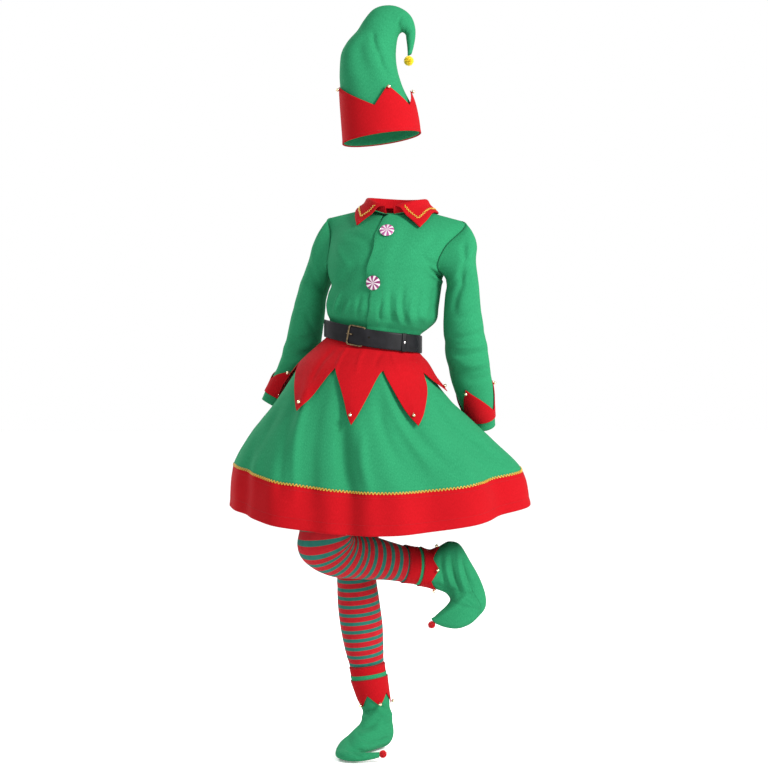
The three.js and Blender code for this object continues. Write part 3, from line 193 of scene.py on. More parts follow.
def tube(rows, sense):
    """A tube through rings; angle 0 of a ring is its point a, 180 its point b."""

    def centre(v):
        row = row_at(rows, "t", v)
        return vec((row["ax"] + row["bx"]) / 2, (row["ay"] + row["by"]) / 2,
                   (row["az"] + row["bz"]) / 2)

    def point(u, v):
        u, v = paired(u, v)
        row = row_at(rows, "t", v)
        a = vec(row["ax"], row["ay"], row["az"])
        b = vec(row["bx"], row["by"], row["bz"])
        half = (b - a) / 2
        path = centre(v + 0.04) - centre(v - 0.04)
        deep = unit(np.cross(half, path)) * (row["deep"] * sense)[..., None]
        angle = np.radians(u)
        return (a + b) / 2 - half * np.cos(angle)[..., None] - deep * np.sin(angle)[..., None]

    middle = rows["t"][len(rows["t"]) // 2]
    return Surface(point, centre, 0.5, 0.02, 90, middle)


def flat_rings(columns, *rows):
    """Rings whose two points lie equally far from the front view."""
    out = table(columns, *rows)
    out["ay"] = out["y"]
    out["by"] = out["y"]
    return out


def swell_of(folds, u, v, angle_key="angle", along_key="t"):
    total = 0.0
    for k in range(len(folds["out"])):
        near = bump(apart(u, folds[angle_key][k]), folds["round"][k])
        total = total + folds["out"][k] * near * bump(v - folds[along_key][k], folds["along"][k])
    return total


# Upper body

BODY_ROWS = table(
    "z x y drop wide front back turn tilt",
    (-345, -53, 0, 0, 117, 89, 85, 8, -0.17),
    (-301, -47, 0, 0, 118, 91, 87, 8, -0.17),
    (-284, -41, 0, 0, 131, 108, 98, 9, -0.16),
    (-262, -31, 0, 0, 144, 121, 107, 10, -0.15),
    (-232, -25, 0, 0, 145, 124, 108, 12, -0.12),
    (-200, -20, 0, 0, 145, 126, 110, 14, -0.1),
    (-165, -20, 0, 0, 151, 129, 112, 15, -0.08),
    (-130, -16, 1, 4, 157, 127, 112, 16, -0.06),
    (-95, -8, 2, 14, 164, 118, 110, 16.5, -0.056),
    (-60, -1, 3, 26, 170, 103, 104, 16.7, -0.056),
    (-35, 4, 4, 34, 175, 84, 95, 16.7, -0.056),
    (-14, 7, 4, 40, 180, 63, 84, 16.7, -0.056),
    (4, 8, 4, 44, 184, 40, 66, 16.7, -0.056),
    (18, 8, 4, 46, 186, 18, 34, 16.7, -0.056),
    (26, 8, 4, 46, 187, 0.6, 0.6, 16.7, -0.056),
)
ARMHOLE_ROWS = table(
    "z front back",
    (-156, 90, 90), (-148, 76, 75), (-130, 69, 67), (-100, 66, 63), (-60, 67, 63),
    (-20, 73, 68), (4, 79, 75), (18, 82, 80), (24.8, 70, 70), (26, 66, 66),
)
BODY_FOLDS = table(
    "angle round z along out",
    (-62, 9, -262, 26, 5), (-38, 8, -272, 22, -4), (-14, 9, -268, 24, 4),
    (22, 8, -276, 22, -4), (48, 10, -266, 26, 5), (130, 12, -266, 26, 5),
    (175, 11, -272, 24, -4), (225, 12, -266, 26, 5), (-78, 12, -205, 14, -5),
    (74, 14, -168, 13, -4),
)


def body_point(u, z):
    row = row_at(BODY_ROWS, "z", z)
    angle = np.radians(u)
    swell = swell_of(BODY_FOLDS, u, z, "angle", "z")
    depth = np.where(np.cos(angle) > 0, row["front"], row["back"])
    across = (row["wide"] + swell) * np.sin(angle)
    away = -(depth + swell) * np.cos(angle)
    turn = np.radians(row["turn"])
    x = row["x"] + across * np.cos(turn) + away * np.sin(turn)
    y = row["y"] - across * np.sin(turn) + away * np.cos(turn)
    fall = row["tilt"] * (x - row["x"]) - row["drop"] * np.abs(across) / SHOULDER_HALF
    return vec(x, y, row["z"] + fall)


def body_centre(z):
    row = row_at(BODY_ROWS, "z", z)
    return vec(row["x"], row["y"], row["z"])


BODY = Surface(body_point, body_centre, 0.5, 1, 10, -200)


def neck_angle(z, is_back):
    """The angle at which the neck hole cuts a section, 0 below the hole."""
    row = row_at(BODY_ROWS, "z", z)
    depth = row["back"] if is_back else row["front"]
    hole = NECK_BACK if is_back else NECK_FRONT
    share = np.minimum((depth / hole) ** 2, 0.999999)
    across = np.sqrt((1 - share) / np.maximum(1 / NECK_WIDE ** 2 - share / row["wide"] ** 2, 1e-9))
    angle = np.degrees(np.arcsin(np.clip(across / row["wide"], 0, 1)))
    return np.where(depth >= hole, 0.0, angle)


def side_angle(z, is_back):
    seam = np.degrees(SEAM / row_at(BODY_ROWS, "z", z)["wide"])
    row = row_at(ARMHOLE_ROWS, "z", z)
    edge = np.where(np.asarray(z) <= ARMPIT_Z, 90, row["back"] if is_back else row["front"])
    return edge - seam


# Sleeves

def armhole_point(angle, side):
    """The armhole of one side as a ring: 0 at the shoulder tip, 90 in front, 180 at the armpit."""
    z = SHOULDER_Z + (ARMPIT_Z - SHOULDER_Z) * (1 - np.cos(np.radians(angle))) / 2
    row = row_at(ARMHOLE_ROWS, "z", z)
    start = np.where(np.sin(np.radians(angle)) < 0, 180 - row["back"], row["front"])
    out = body_point(side * start, z)
    away = np.array([math.cos(SHOULDER_TURN), -math.sin(SHOULDER_TURN), 0.0])
    return out + ARMHOLE_OUT * side * away


LEFT_ARM_ROWS = flat_rings(
    "t ax az bx bz y deep",
    (0, 139, -169, 206, -35, -45, 58), (1, 139, -190, 217, -78, -48, 57),
    (2, 134, -217, 214, -141, -48, 55), (3, 131, -258, 223, -225, -44, 53),
    (4, 130, -307, 233, -294, -32, 53), (5, 134, -354, 243, -343, -14, 52),
    (6, 146, -413, 252, -400, 10, 50), (7, 163, -468, 262, -455, 37, 46),
    (8, 185, -518, 266, -508, 62, 40), (9, 199, -538, 268, -531, 74, 36),
    (10, 206, -563, 270, -553, 84, 33),
)
RIGHT_ARM_ROWS = flat_rings(
    "t ax az bx bz y deep",
    (0, -177, -12, -150, -160, 60, 58), (1, -200, -57, -164, -178, 72, 56),
    (2, -225, -130, -176, -216, 84, 53), (3, -251, -203, -181, -264, 93, 52),
    (4, -271, -272, -188, -317, 106, 50), (5, -287, -335, -199, -378, 118, 48),
    (6, -303, -391, -218, -434, 126, 45), (7, -318, -422, -240, -463, 129, 42),
    (8, -331, -449, -259, -488, 132, 38), (9, -341, -469, -273, -504, 133, 35),
    (10, -349, -487, -285, -521, 134, 33),
)
ARM_FOLDS = table(
    "t angle round along out",
    (1.7, 95, 60, 0.3, -5), (2.6, 120, 55, 0.35, 4), (4.7, 60, 70, 0.28, -4),
    (5.3, 70, 70, 0.28, 4), (5.9, 60, 60, 0.25, -4),
)


def sleeve_surface(rows, side):
    arm = tube(rows, 1)
    folds = dict(ARM_FOLDS)
    if side < 0:
        folds["angle"] = 180 - folds["angle"]

    def point(u, v):
        u, v = paired(u, v)
        out = arm.point(u, v)
        out = out + unit(out - arm.centre(v)) * swell_of(folds, u, v)[..., None]
        start = armhole_point(180 - u if side > 0 else u, side)
        blend = smooth(v / 1.4)[..., None]
        return start + (out - start) * blend

    return Surface(point, arm.centre, 0.5, 0.02, 90, 4)


LEFT_ARM = sleeve_surface(LEFT_ARM_ROWS, 1)
RIGHT_ARM = sleeve_surface(RIGHT_ARM_ROWS, -1)
CUFF_EDGES = {
    "left": (table("angle peak", (66, 6.6), (196, 6.8), (322, 6.9)),
             table("angle low", (150, 7.95), (262, 7.95), (388, 8.0))),
    "right": (table("angle peak", (76, 6.05), (196, 6.3), (316, 6.3)),
              table("angle low", (138, 7.7), (256, 7.7), (376, 7.4))),
}


def pointed_edge(peaks, valleys, parts):
    """Angles and edge places once round, from the valley before the first peak."""
    angles = [valleys["angle"][-1] - 360]
    edges = [valleys["low"][-1]]
    for k in range(len(peaks["angle"])):
        angles += [peaks["angle"][k], valleys["angle"][k]]
        edges += [peaks["peak"][k], valleys["low"][k]]
    return finer(angles, parts)[:-1], finer(edges, parts)[:-1]


# Collar

COLLAR_ROWS = table(
    "s angle edge_x edge_y edge_z roll_z",
    (0, 9, 84, -76, -42, 10), (0.12, 24, 96, -53, -22, 17), (0.28, 48, 104, -22, 0, 25),
    (0.46, 78, 106, 14, 4, 32), (0.64, 108, 98, 52, 4, 36), (0.82, 142, 62, 86, 0, 38),
    (1, 180, 0, 98, -4, 38),
)
NECK_MIDDLE = (9, 2)


def from_neck(p):
    x, y, z = p[..., 0], p[..., 1], p[..., 2]
    return vec(NECK_MIDDLE[0] + x * math.cos(SHOULDER_TURN) + y * math.sin(SHOULDER_TURN),
               NECK_MIDDLE[1] - x * math.sin(SHOULDER_TURN) + y * math.cos(SHOULDER_TURN),
               z - SHOULDER_TILT * x)


def collar_point(u, v):
    u, v = paired(u, v)
    side = np.where(u < 0, -1.0, 1.0)
    row = row_at(COLLAR_ROWS, "s", 1 - np.abs(u))
    angle = np.radians(row["angle"])
    seam_z = np.minimum(-12 + 27 * np.sin(angle / 2) ** 0.8, 18)
    seam = vec(side * (NECK_WIDE - 3.5) * np.sin(angle), -(NECK_FRONT - 4.5) * np.cos(angle), seam_z)
    roll = vec(side * (NECK_WIDE + 3) * np.sin(angle), -(NECK_FRONT + 4) * np.cos(angle),
               row["roll_z"])
    edge = vec(side * row["edge_x"], row["edge_y"], row["edge_z"])
    up = np.clip(v, None, 1)[..., None]
    stand = seam + (roll - seam) * up
    stand[..., 2] += (3 * up * (1 - up))[..., 0]
    w = np.maximum(v - 1, 0)
    wing = roll + (edge - roll) * w[..., None]
    wing[..., 2] += 14 * w * (1 - w) + 5 * np.sin(np.pi * np.minimum(w * 3, 1))
    away = edge - roll
    away[..., 2] = 0
    wing += unit(away) * (5 * np.sin(np.pi * np.minimum(w * 2, 1)))[..., None]
    return from_neck(np.where((v <= 1)[..., None], stand, wing))


COLLAR = Surface(collar_point, lambda v: from_neck(vec(0.0, 0.0, -20.0)), 0.004, 0.02, 0.05, 1.7)

# Skirt

SKIRT_ROWS = table(
    "v lx lz rx rz front back front_z back_z",
    (0, -170, -304.5, 64, -344.5, 89, 85, -322, -326.5),
    (0.05, -171, -326, 66, -365, 90, 86, -350, -349),
    (0.08, -184, -338, 72, -374, 99, 92, -366, -361),
    (0.16, -236, -388, 88, -395, 134, 104, -405, -392),
    (0.28, -268, -437, 110, -440, 160, 116, -458, -446),
    (0.42, -306, -494, 148, -486, 188, 138, -524, -508),
    (0.56, -341, -541, 205, -541, 210, 168, -589, -572),
    (0.68, -373, -586, 262, -593, 230, 200, -650, -630),
    (0.8, -409, -656, 333, -664, 250, 232, -716, -692),
    (1, -419, -764, 356, -750, 284, 256, -817, -792),
)
SKIRT_FOLDS = table(
    "angle spread out start full",
    (-66, 7, -12, 0.3, 0.7), (-42, 8, 12, 0.15, 0.6), (-27, 6, -11, 0.3, 0.8),
    (-12, 5, -15, 0.3, 0.65), (-4, 4.5, 7, 0.3, 0.7), (6, 6, 8, 0.25, 0.8),
    (19, 7, -10, 0.35, 0.8), (36, 8, 11, 0.3, 0.8), (54, 7, -16, 0.3, 0.75),
    (72, 8, 9, 0.3, 0.8), (104, 9, -14, 0.3, 0.8), (126, 9, 12, 0.25, 0.8),
    (150, 9, -14, 0.3, 0.8), (172, 9, 12, 0.25, 0.8), (195, 9, -14, 0.3, 0.8),
    (218, 9, 12, 0.25, 0.8), (242, 9, -14, 0.3, 0.8), (264, 8, 8, 0.3, 0.8),
)


def skirt_point(u, v):
    u, v = paired(u, v)
    row = row_at(SKIRT_ROWS, "v", v)
    angle = np.radians(u)
    folds = SKIRT_FOLDS
    swell = 0.0
    for k in range(len(folds["out"])):
        grow = smooth((v - folds["start"][k]) / (folds["full"][k] - folds["start"][k]))
        near = bump(apart(u, folds["angle"][k]), folds["spread"][k])
        swell = swell + folds["out"][k] * grow * near
    sine = np.sin(angle)
    cosine = np.cos(angle)
    wide = (row["rx"] - row["lx"]) / 2 + swell
    depth = np.where(cosine > 0, row["front"], row["back"]) + swell
    turn = np.radians(8 * (1 - smooth(v / 0.4)))
    across = wide * sine
    away = -depth * cosine
    middle = (row["lz"] + row["rz"]) / 2
    lean = (row["front_z"] - row["back_z"]) / 2
    sag = (row["front_z"] + row["back_z"]) / 2 - middle
    z = middle + (row["rz"] - row["lz"]) / 2 * sine + lean * cosine + sag * cosine * cosine
    return vec((row["lx"] + row["rx"]) / 2 + across * np.cos(turn) + away * np.sin(turn),
               -across * np.sin(turn) + away * np.cos(turn), z)


def skirt_centre(v):
    row = row_at(SKIRT_ROWS, "v", v)
    return vec((row["lx"] + row["rx"]) / 2, 0.0, (row["lz"] + row["rz"]) / 2)


SKIRT = Surface(skirt_point, skirt_centre, 0.5, 0.01, 10, 0.5)

LEAVES = table(
    "tip reach valley notch in_edge out_edge",
    (-158, 0.45, -134, 0.19, 1, 1.1), (-110, 0.44, -78, 0.17, 1.1, 1),
    (-41, 0.437, -20.7, 0.175, 1.2, 1.25), (-6, 0.48, 21, 0.185, 1.2, 1.35),
    (31, 0.51, 62, 0.21, 0.9, 0.75), (80, 0.375, 106, 0.19, 1.1, 1.1),
    (129, 0.45, 149, 0.19, 1, 1), (167, 0.46, 184, 0.19, 1.1, 0.9),
)
LEAF_OUT = 3.2
LEAF_FLARE = 9
LEAF_START = 0.012
LEAF_BEND = 0.085
BELL_SHARE = 0.88


def leaf_lift(v):
    return LEAF_OUT + LEAF_FLARE * smooth((v - 0.06) / 0.33)


def leaf_edge(first, last, parts):
    """Angles and lower edge of the overskirt from one valley to another."""
    angles = []
    edges = []
    share = finer([0, 1], parts)
    count = len(LEAVES["tip"])
    for k in range(first, last + 1):
        j = k % count
        before = (j - 1) % count
        turn = 360 if k >= count else 0
        start = LEAVES["valley"][before] - (360 if j == 0 else 0) + turn
        tip = LEAVES["tip"][j] + turn
        end = LEAVES["valley"][j] + turn
        reach = LEAVES["reach"][j]
        notch = LEAVES["notch"][before]
        angles.append(start + (tip - start) * share[:-1])
        edges.append(notch + (reach - notch) * share[:-1] ** LEAVES["in_edge"][j])
        back = share[::-1]
        notch = LEAVES["notch"][j]
        angles.append((end + (tip - end) * back)[:-1])
        edges.append((notch + (reach - notch) * back ** LEAVES["out_edge"][j])[:-1])
    angles.append([LEAVES["valley"][last % count] + (360 if last >= count else 0)])
    edges.append([LEAVES["notch"][last % count]])
    return np.concatenate(angles), np.concatenate(edges)


# Belt

WAIST = {"x": -52, "y": 0, "wide": 119, "front": 91, "back": 87, "turn": 8, "tilt": -0.17, "sag": 9}


def belt_point(u, v):
    u, v = paired(u, v)
    angle = np.radians(u)
    second = smooth((u - OVERLAP_FROM) / (OVERLAP_TO - OVERLAP_FROM))
    over_bar = 2.6 * bump(u - (BUCKLE_ANGLE + 10.5), 5.5)
    out = BELT_OUT + BELT_THICK + second * (BELT_THICK + 0.7) + over_bar
    turn = math.radians(WAIST["turn"])
    across = (WAIST["wide"] + out) * np.sin(angle)
    depth = np.where(np.cos(angle) > 0, WAIST["front"], WAIST["back"]) + out
    away = -depth * np.cos(angle)
    x = across * math.cos(turn) + away * math.sin(turn)
    y = -across * math.sin(turn) + away * math.cos(turn)
    low = WAIST["sag"] * np.maximum(np.cos(angle), 0) ** 2
    return vec(WAIST["x"] + x, WAIST["y"] + y, WAIST_SEAM_Z + WAIST["tilt"] * x - low + v)


BELT = Surface(belt_point, lambda v: vec(-52.0, 0.0, -323.0), 0.5, 1, 90, 0)

# Hat

CROWN_ROWS = flat_rings(
    "t ax az bx bz y deep",
    (0, -128, 176, 69, 205, -2, 92), (1, -131, 225, 61, 243, -1, 90),
    (2, -135, 278, 47, 280, 0, 86), (3, -138, 326, 28, 318, 1, 79),
    (4, -139, 369, 14, 358, 2, 70), (5, -135, 411, 8, 400, 2, 60),
    (6, -120, 440, 9, 430, 2, 53), (7, -99, 466, 12, 450, 2, 47),
    (8, -78, 497, 16, 461, 1, 41), (9, -49, 528, 20, 465, 0, 36),
    (10, -13, 537, 24, 467, -1, 31), (11, 21, 529, 28, 465, -2, 27),
    (12, 46, 510, 32, 461, -3, 22), (13, 57, 484, 34, 451, -4, 17),
    (14, 58, 458, 36, 437, -5, 13), (15, 54, 432, 37.5, 420, -6, 9),
    (16, 48.5, 410, 37.5, 405.5, -7, 6),
)
CROWN_TUBE = tube(CROWN_ROWS, -1)
CROWN_FOLDS = table(
    "t angle round along out",
    (3.4, 86, 20, 1.6, -7), (5.2, 72, 18, 1.4, -6), (2.9, 40, 28, 0.5, -3), (7.4, 30, 40, 0.6, -4),
)


def crown_point(u, v):
    u, v = paired(u, v)
    out = CROWN_TUBE.point(u, v)
    return out + unit(out - CROWN_TUBE.centre(v)) * swell_of(CROWN_FOLDS, u, v)[..., None]


CROWN = Surface(crown_point, CROWN_TUBE.centre, 0.5, 0.02, 90, 4)
BRIM_ROWS = flat_rings(
    "t ax az bx bz y deep",
    (0, -128, 176, 69, 205, -2, 92), (1, -131, 225, 64, 243, -1, 91),
    (2, -135, 278, 56, 281, 0, 89), (3, -138, 326, 43, 316, 1, 86),
)
BRIM = tube(BRIM_ROWS, -1)
BRIM_OUT = FLEECE + LAYER + 0.55
BRIM_PEAKS = table("angle peak", (12, 2.9), (110, 2.85), (168, 2.85), (235, 2.9), (304, 2.9))
BRIM_VALLEYS = table("angle low", (84, 1.6), (143, 1.65), (203, 1.7), (270, 1.7), (339, 1.7))

# Stockings and boots

RAISED_LEG_ROWS = table(
    "t ax ay az bx by bz deep",
    (0, 30, -92, -690, -98, -100, -606, 70), (1, 0, -108, -729, -137, -114, -645, 68),
    (2, -46, -118, -786, -175, -122, -710, 64), (3, -84, -128, -806, -208, -131, -753, 61),
    (4, -100, -134, -814, -228, -136, -787, 60), (5, -104, -136, -820, -238, -138, -823, 59),
    (6, -104, -134, -824, -242, -135, -856, 58), (7, -103, -126, -826, -231, -125, -887, 57),
    (8, -101, -112, -828, -198, -110, -916, 55), (9, -94, -92, -828, -156, -90, -936, 54),
    (10, -78, -66, -830, -113, -64, -944, 53), (11, -47, -40, -840, -70, -38, -950, 51),
    (12, -8, -14, -855, -26, -13, -954, 48), (13, 29, 6, -868, 16, 7, -961, 44),
    (14, 60, 20, -877, 50, 20, -966, 42),
)
STANDING_LEG_ROWS = table(
    "t ax ay az bx by bz deep",
    (0, -181, 72, -694, -17, 72, -694, 74), (1, -174, 71, -735, -20, 71, -735, 71),
    (2, -165, 68, -800, -29, 68, -798, 65), (3, -155, 65, -870, -39, 65, -863, 58),
    (4, -150, 63, -920, -44, 63, -912, 54), (5, -147, 63, -969, -44, 63, -958, 53),
    (6, -145, 62, -1030, -35, 62, -1018, 55), (7, -137, 60, -1094, -27, 60, -1080, 53),
    (8, -126, 58, -1147, -25, 58, -1132, 49), (9, -111, 57, -1195, -24.5, 57, -1182, 42),
    (10, -96, 56, -1234, -28, 56, -1226, 35),
)
RAISED_BOOT_ROWS = table(
    "t ax ay az bx by bz deep sole",
    (0, 34, 9, -866, 22, 9, -965, 47, 0), (1, 66, 22, -874, 58, 22, -970, 46, 0),
    (2, 98, 30, -884, 90, 30, -976, 45, 0), (3, 123, 32, -871, 113, 32, -984, 44, 0),
    (4, 148, 34, -859, 136, 34, -993, 43, 0), (5, 176, 34, -868, 146, 34, -1003, 42, 24),
    (6, 202, 32, -910, 149, 32, -1013, 42, 50), (7, 226, 28, -953, 145, 28, -1021, 42, 62),
    (8, 242, 22, -996, 136, 22, -1030, 41, 60), (9, 242, 16, -1029, 125, 16, -1039, 37, 40),
    (10, 224, 10, -1052, 116, 10, -1046, 31, 16), (11, 200, 4, -1072, 109, 4, -1051, 25, 0),
    (12, 169, 0, -1083, 104, 0, -1054, 18, 0), (13, 137, -2, -1080, 100, -2, -1056, 12, 0),
    (14, 113, -3, -1071, 101, -3, -1060, 7.5, 0),
)
STANDING_BOOT_ROWS = table(
    "t ax ay az bx by bz deep sole",
    (0, -40, 93, -1183, -96, 19, -1189, 47.5, 0), (1, -35, 92, -1219, -89, 20, -1225, 45.5, 0),
    (2, -28, 89, -1262, -77, 24, -1264, 41, 0), (3, -22, 89, -1302, -67, 29, -1298, 38, 0),
    (4, -14, 93, -1340, -66, 25, -1318, 38, 0), (5, -10, 96, -1380, -76, 12, -1332, 39, 24),
    (6, -26, 78, -1402, -88, -4, -1343, 41, 50), (7, -54, 40, -1404, -100, -22, -1353, 43, 60),
    (8, -84, -2, -1404, -112, -42, -1363, 42, 60), (9, -106, -38, -1404, -124, -62, -1372, 34, 42),
    (10, -120, -66, -1404, -130, -78, -1378, 24, 18),
    (11, -126, -92, -1403, -126, -95, -1379, 17, 0),
    (12, -112, -113, -1403, -110, -109, -1380, 14, 0),
    (13, -86, -121, -1402, -86, -117, -1380, 11.5, 0),
    (14, -58, -120, -1398, -58, -117, -1380, 9, 0), (15, -36, -117, -1393, -36, -115, -1379, 7, 0),
)
RAISED_LEG = tube(RAISED_LEG_ROWS, -1)
STANDING_LEG = tube(STANDING_LEG_ROWS, 1)


# Meshes

class Shape:
    """Points in mm with faces of four or three corners and a cloth coordinate at each corner."""

    def __init__(self, points, quads, quad_uv=None, tris=None, dark=None):
        self.points = np.asarray(points, float).reshape(-1, 3)
        self.quads = np.asarray(quads, int).reshape(-1, 4)
        self.quad_uv = np.zeros((len(self.quads), 4, 2)) if quad_uv is None else quad_uv
        self.tris = np.zeros((0, 3), int) if tris is None else np.asarray(tris, int)
        self.dark = np.zeros(len(self.quads), bool) if dark is None else dark


def joined(shapes):
    offset = 0
    points, quads, uvs, tris, dark = [], [], [], [], []
    for shape in shapes:
        points.append(shape.points)
        quads.append(shape.quads + offset)
        uvs.append(shape.quad_uv)
        tris.append(shape.tris + offset)
        dark.append(shape.dark)
        offset += len(shape.points)
    return Shape(np.concatenate(points), np.concatenate(quads), np.concatenate(uvs),
                 np.concatenate(tris), np.concatenate(dark))


def make(name, shape, materials, nodes=()):
    """A finished piece in metres that rides on the part and stands for the named solids."""
    mesh = bpy.data.meshes.new(name)
    mesh.vertices.add(len(shape.points))
    mesh.vertices.foreach_set("co", (shape.points * MM).ravel())
    corners = np.concatenate([shape.quads.ravel(), shape.tris.ravel()])
    mesh.loops.add(len(corners))
    mesh.loops.foreach_set("vertex_index", corners)
    four = len(shape.quads)
    three = len(shape.tris)
    starts = np.concatenate([np.arange(four) * 4, 4 * four + np.arange(three) * 3])
    mesh.polygons.add(four + three)
    mesh.polygons.foreach_set("loop_start", starts)
    mesh.polygons.foreach_set("use_smooth", np.ones(four + three, bool))
    index = np.concatenate([shape.dark.astype(int), np.zeros(three, int)])
    mesh.polygons.foreach_set("material_index", index)
    mesh.update(calc_edges=True)
    layer = mesh.uv_layers.new(name="cloth")
    flat = np.concatenate([shape.quad_uv.reshape(-1, 2) * MM, np.zeros((3 * three, 2))])
    layer.data.foreach_set("uv", flat.ravel())
    piece = bpy.data.objects.new(name, mesh)
    bpy.context.scene.collection.objects.link(piece)
    for material in materials if isinstance(materials, (list, tuple)) else [materials]:
        mesh.materials.append(material)
    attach(piece, "root")
    if nodes:
        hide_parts(*nodes)
    return piece


def sheet_shape(outer, inner, closed, pull=1.0, slant=0.0):
    """Two faces of a cloth with rounded edges. outer and inner are grids of points.

    pull scales the length coordinate row by row, slant tips it with the depth of a place.
    """
    rows, cols = outer.shape[:2]
    step = np.linalg.norm(np.diff(outer, axis=1), axis=2)
    if closed:
        wrap = np.linalg.norm(outer[:, :1] - outer[:, -1:], axis=2)
        step = np.concatenate([step, wrap], axis=1)
    across = np.concatenate([np.zeros((rows, 1)), np.cumsum(step, axis=1)], axis=1)
    across = across - across[:, across.shape[1] // 2][:, None]
    fall = np.linalg.norm(np.diff(outer, axis=0), axis=2).mean(axis=1)
    down = np.concatenate([[0.0], np.cumsum(fall * pull)])[:, None]
    depth = outer[..., 1] - outer[..., 1].mean(axis=1, keepdims=True)
    if closed:
        depth = np.concatenate([depth, depth[:, :1]], axis=1)
    wide = across.shape[1]
    uv = np.stack([across, down + slant * depth], axis=-1).reshape(-1, 2)

    def spot(i, j):
        return i * cols + j % cols

    cells = cols if closed else cols - 1
    i, j = grid_cells(rows - 1, cells)
    ring = [(i, j), (i + 1, j), (i + 1, j + 1), (i, j + 1)]
    face = np.stack([spot(a, b) for a, b in ring], axis=1)
    face_uv = np.stack([uv[a * wide + b] for a, b in ring], axis=1)
    under = rows * cols
    quads = [face, face[:, ::-1] + under]
    uvs = [face_uv, face_uv[:, ::-1]]
    top = [(0, b) for b in range(cols)]
    end = [(rows - 1, b) for b in range(cols - 1, -1, -1)]
    if closed:
        loops = [top, end]
    else:
        right = [(a, cols - 1) for a in range(1, rows - 1)]
        left = [(a, 0) for a in range(rows - 2, 0, -1)]
        loops = [top + right + end + left]
    past = np.zeros_like(outer)
    past[:, 0] = outer[:, 0] - outer[:, 1]
    past[:, -1] = outer[:, -1] - outer[:, -2]
    past[0] = outer[0] - outer[1]
    past[-1] = outer[-1] - outer[-2]
    rim_points = []
    count = 2 * under
    for loop in loops:
        a = np.array([p[0] for p in loop])
        b = np.array([p[1] for p in loop])
        here_out, here_in = outer[a, b], inner[a, b]
        half = np.linalg.norm(here_out - here_in, axis=1, keepdims=True) / 2
        rim_points.append((here_out + here_in) / 2 + unit(past[a, b]) * half * 0.8)
        size = len(loop)
        here = np.arange(size)
        after = (here + 1) % size
        first = a * cols + b
        second = first[after]
        rim = count + here
        rim_after = count + after
        quads.append(np.stack([first, second, rim_after, rim], axis=1))
        quads.append(np.stack([rim, rim_after, second + under, first + under], axis=1))
        edge_uv = uv[a * wide + b]
        pair = np.stack([edge_uv, edge_uv, edge_uv, edge_uv], axis=1)
        uvs += [pair, pair]
        count += size
    points = np.concatenate([outer.reshape(-1, 3), inner.reshape(-1, 3)] + rim_points)
    quads = np.concatenate(quads)
    uvs = np.concatenate(uvs)
    mid = (rows // 2, cols // 2)
    normal = np.cross(outer[mid[0] + 1, mid[1]] - outer[mid], outer[mid[0], mid[1] + 1] - outer[mid])
    if np.dot(normal, outer[mid] - inner[mid]) < 0:
        quads = quads[:, ::-1]
        uvs = uvs[:, ::-1]
    return Shape(points, quads, uvs)


def swept(rings, closed=False):
    """A solid through rings of points; an open one is capped at both ends."""
    count, size = rings.shape[:2]
    cells = count if closed else count - 1
    i, j = grid_cells(cells, size)
    after = (i + 1) % count
    beside = (j + 1) % size
    quads = np.stack([i * size + j, after * size + j, after * size + beside, i * size + beside], axis=1)
    length = np.concatenate([[0.0], np.cumsum(np.linalg.norm(np.diff(rings.mean(axis=1), axis=0),
                                                             axis=1)), [0.0]])
    girth = np.concatenate([[0.0], np.cumsum(np.linalg.norm(rings[0] - np.roll(rings[0], -1, axis=0),
                                                            axis=1))])
    corner = [(i, j), (i + 1, j), (i + 1, j + 1), (i, j + 1)]
    uvs = np.stack([np.stack([length[a], girth[b]], axis=-1) for a, b in corner], axis=1)
    points = rings.reshape(-1, 3)
    tris = np.zeros((0, 3), int)
    if not closed:
        middle = count * size
        points = np.concatenate([points, [rings[0].mean(axis=0), rings[-1].mean(axis=0)]])
        here = np.arange(size)
        beside = (here + 1) % size
        first = np.stack([np.full(size, middle), here, beside], axis=1)
        base = (count - 1) * size
        last = np.stack([np.full(size, middle + 1), base + beside, base + here], axis=1)
        tris = np.concatenate([first, last])
    shape = Shape(points, quads, uvs, tris)
    corners = shape.points[shape.quads]
    inside = rings.mean(axis=1)
    near = np.repeat(inside[:cells], size, axis=0)
    facing = np.cross(corners[:, 1] - corners[:, 0], corners[:, 3] - corners[:, 0])
    if np.sum(facing * (corners.mean(axis=1) - near)) < 0:
        shape.quads = shape.quads[:, ::-1]
        shape.quad_uv = shape.quad_uv[:, ::-1]
        shape.tris = shape.tris[:, ::-1]
    return shape


def resampled(points, sides, spacing):
    """Points and side vectors at even distances along a line."""
    step = np.linalg.norm(np.diff(points, axis=0), axis=1)
    along = np.concatenate([[0.0], np.cumsum(step)])
    count = max(2, int(along[-1] / spacing))
    at = (np.arange(count) + 0.5) * along[-1] / count
    out = np.stack([np.interp(at, along, points[:, k]) for k in range(3)], axis=1)
    lean = np.stack([np.interp(at, along, sides[:, k]) for k in range(3)], axis=1)
    return out, unit(lean), at


def stitch_shape(points, normals, long=3.2, gap=1.3, thick=0.42):
    """A row of stitches, each a small spindle that lies on the cloth."""
    at, out, _ = resampled(points, normals, long + gap)
    path = unit(np.gradient(at, axis=0))
    side = np.cross(out, path)
    ends = path * (long / 2)
    corners = np.stack([at - ends, at + ends, at + side * thick, at - side * thick,
                        at + out * thick * 1.1, at - out * thick * 0.6], axis=1)
    pattern = np.array([[0, 2, 4], [2, 1, 4], [1, 3, 4], [3, 0, 4],
                        [2, 0, 5], [1, 2, 5], [3, 1, 5], [0, 3, 5]])
    tris = (np.arange(len(at))[:, None, None] * 6 + pattern).reshape(-1, 3)
    return Shape(corners.reshape(-1, 3), np.zeros((0, 4), int), None, tris)


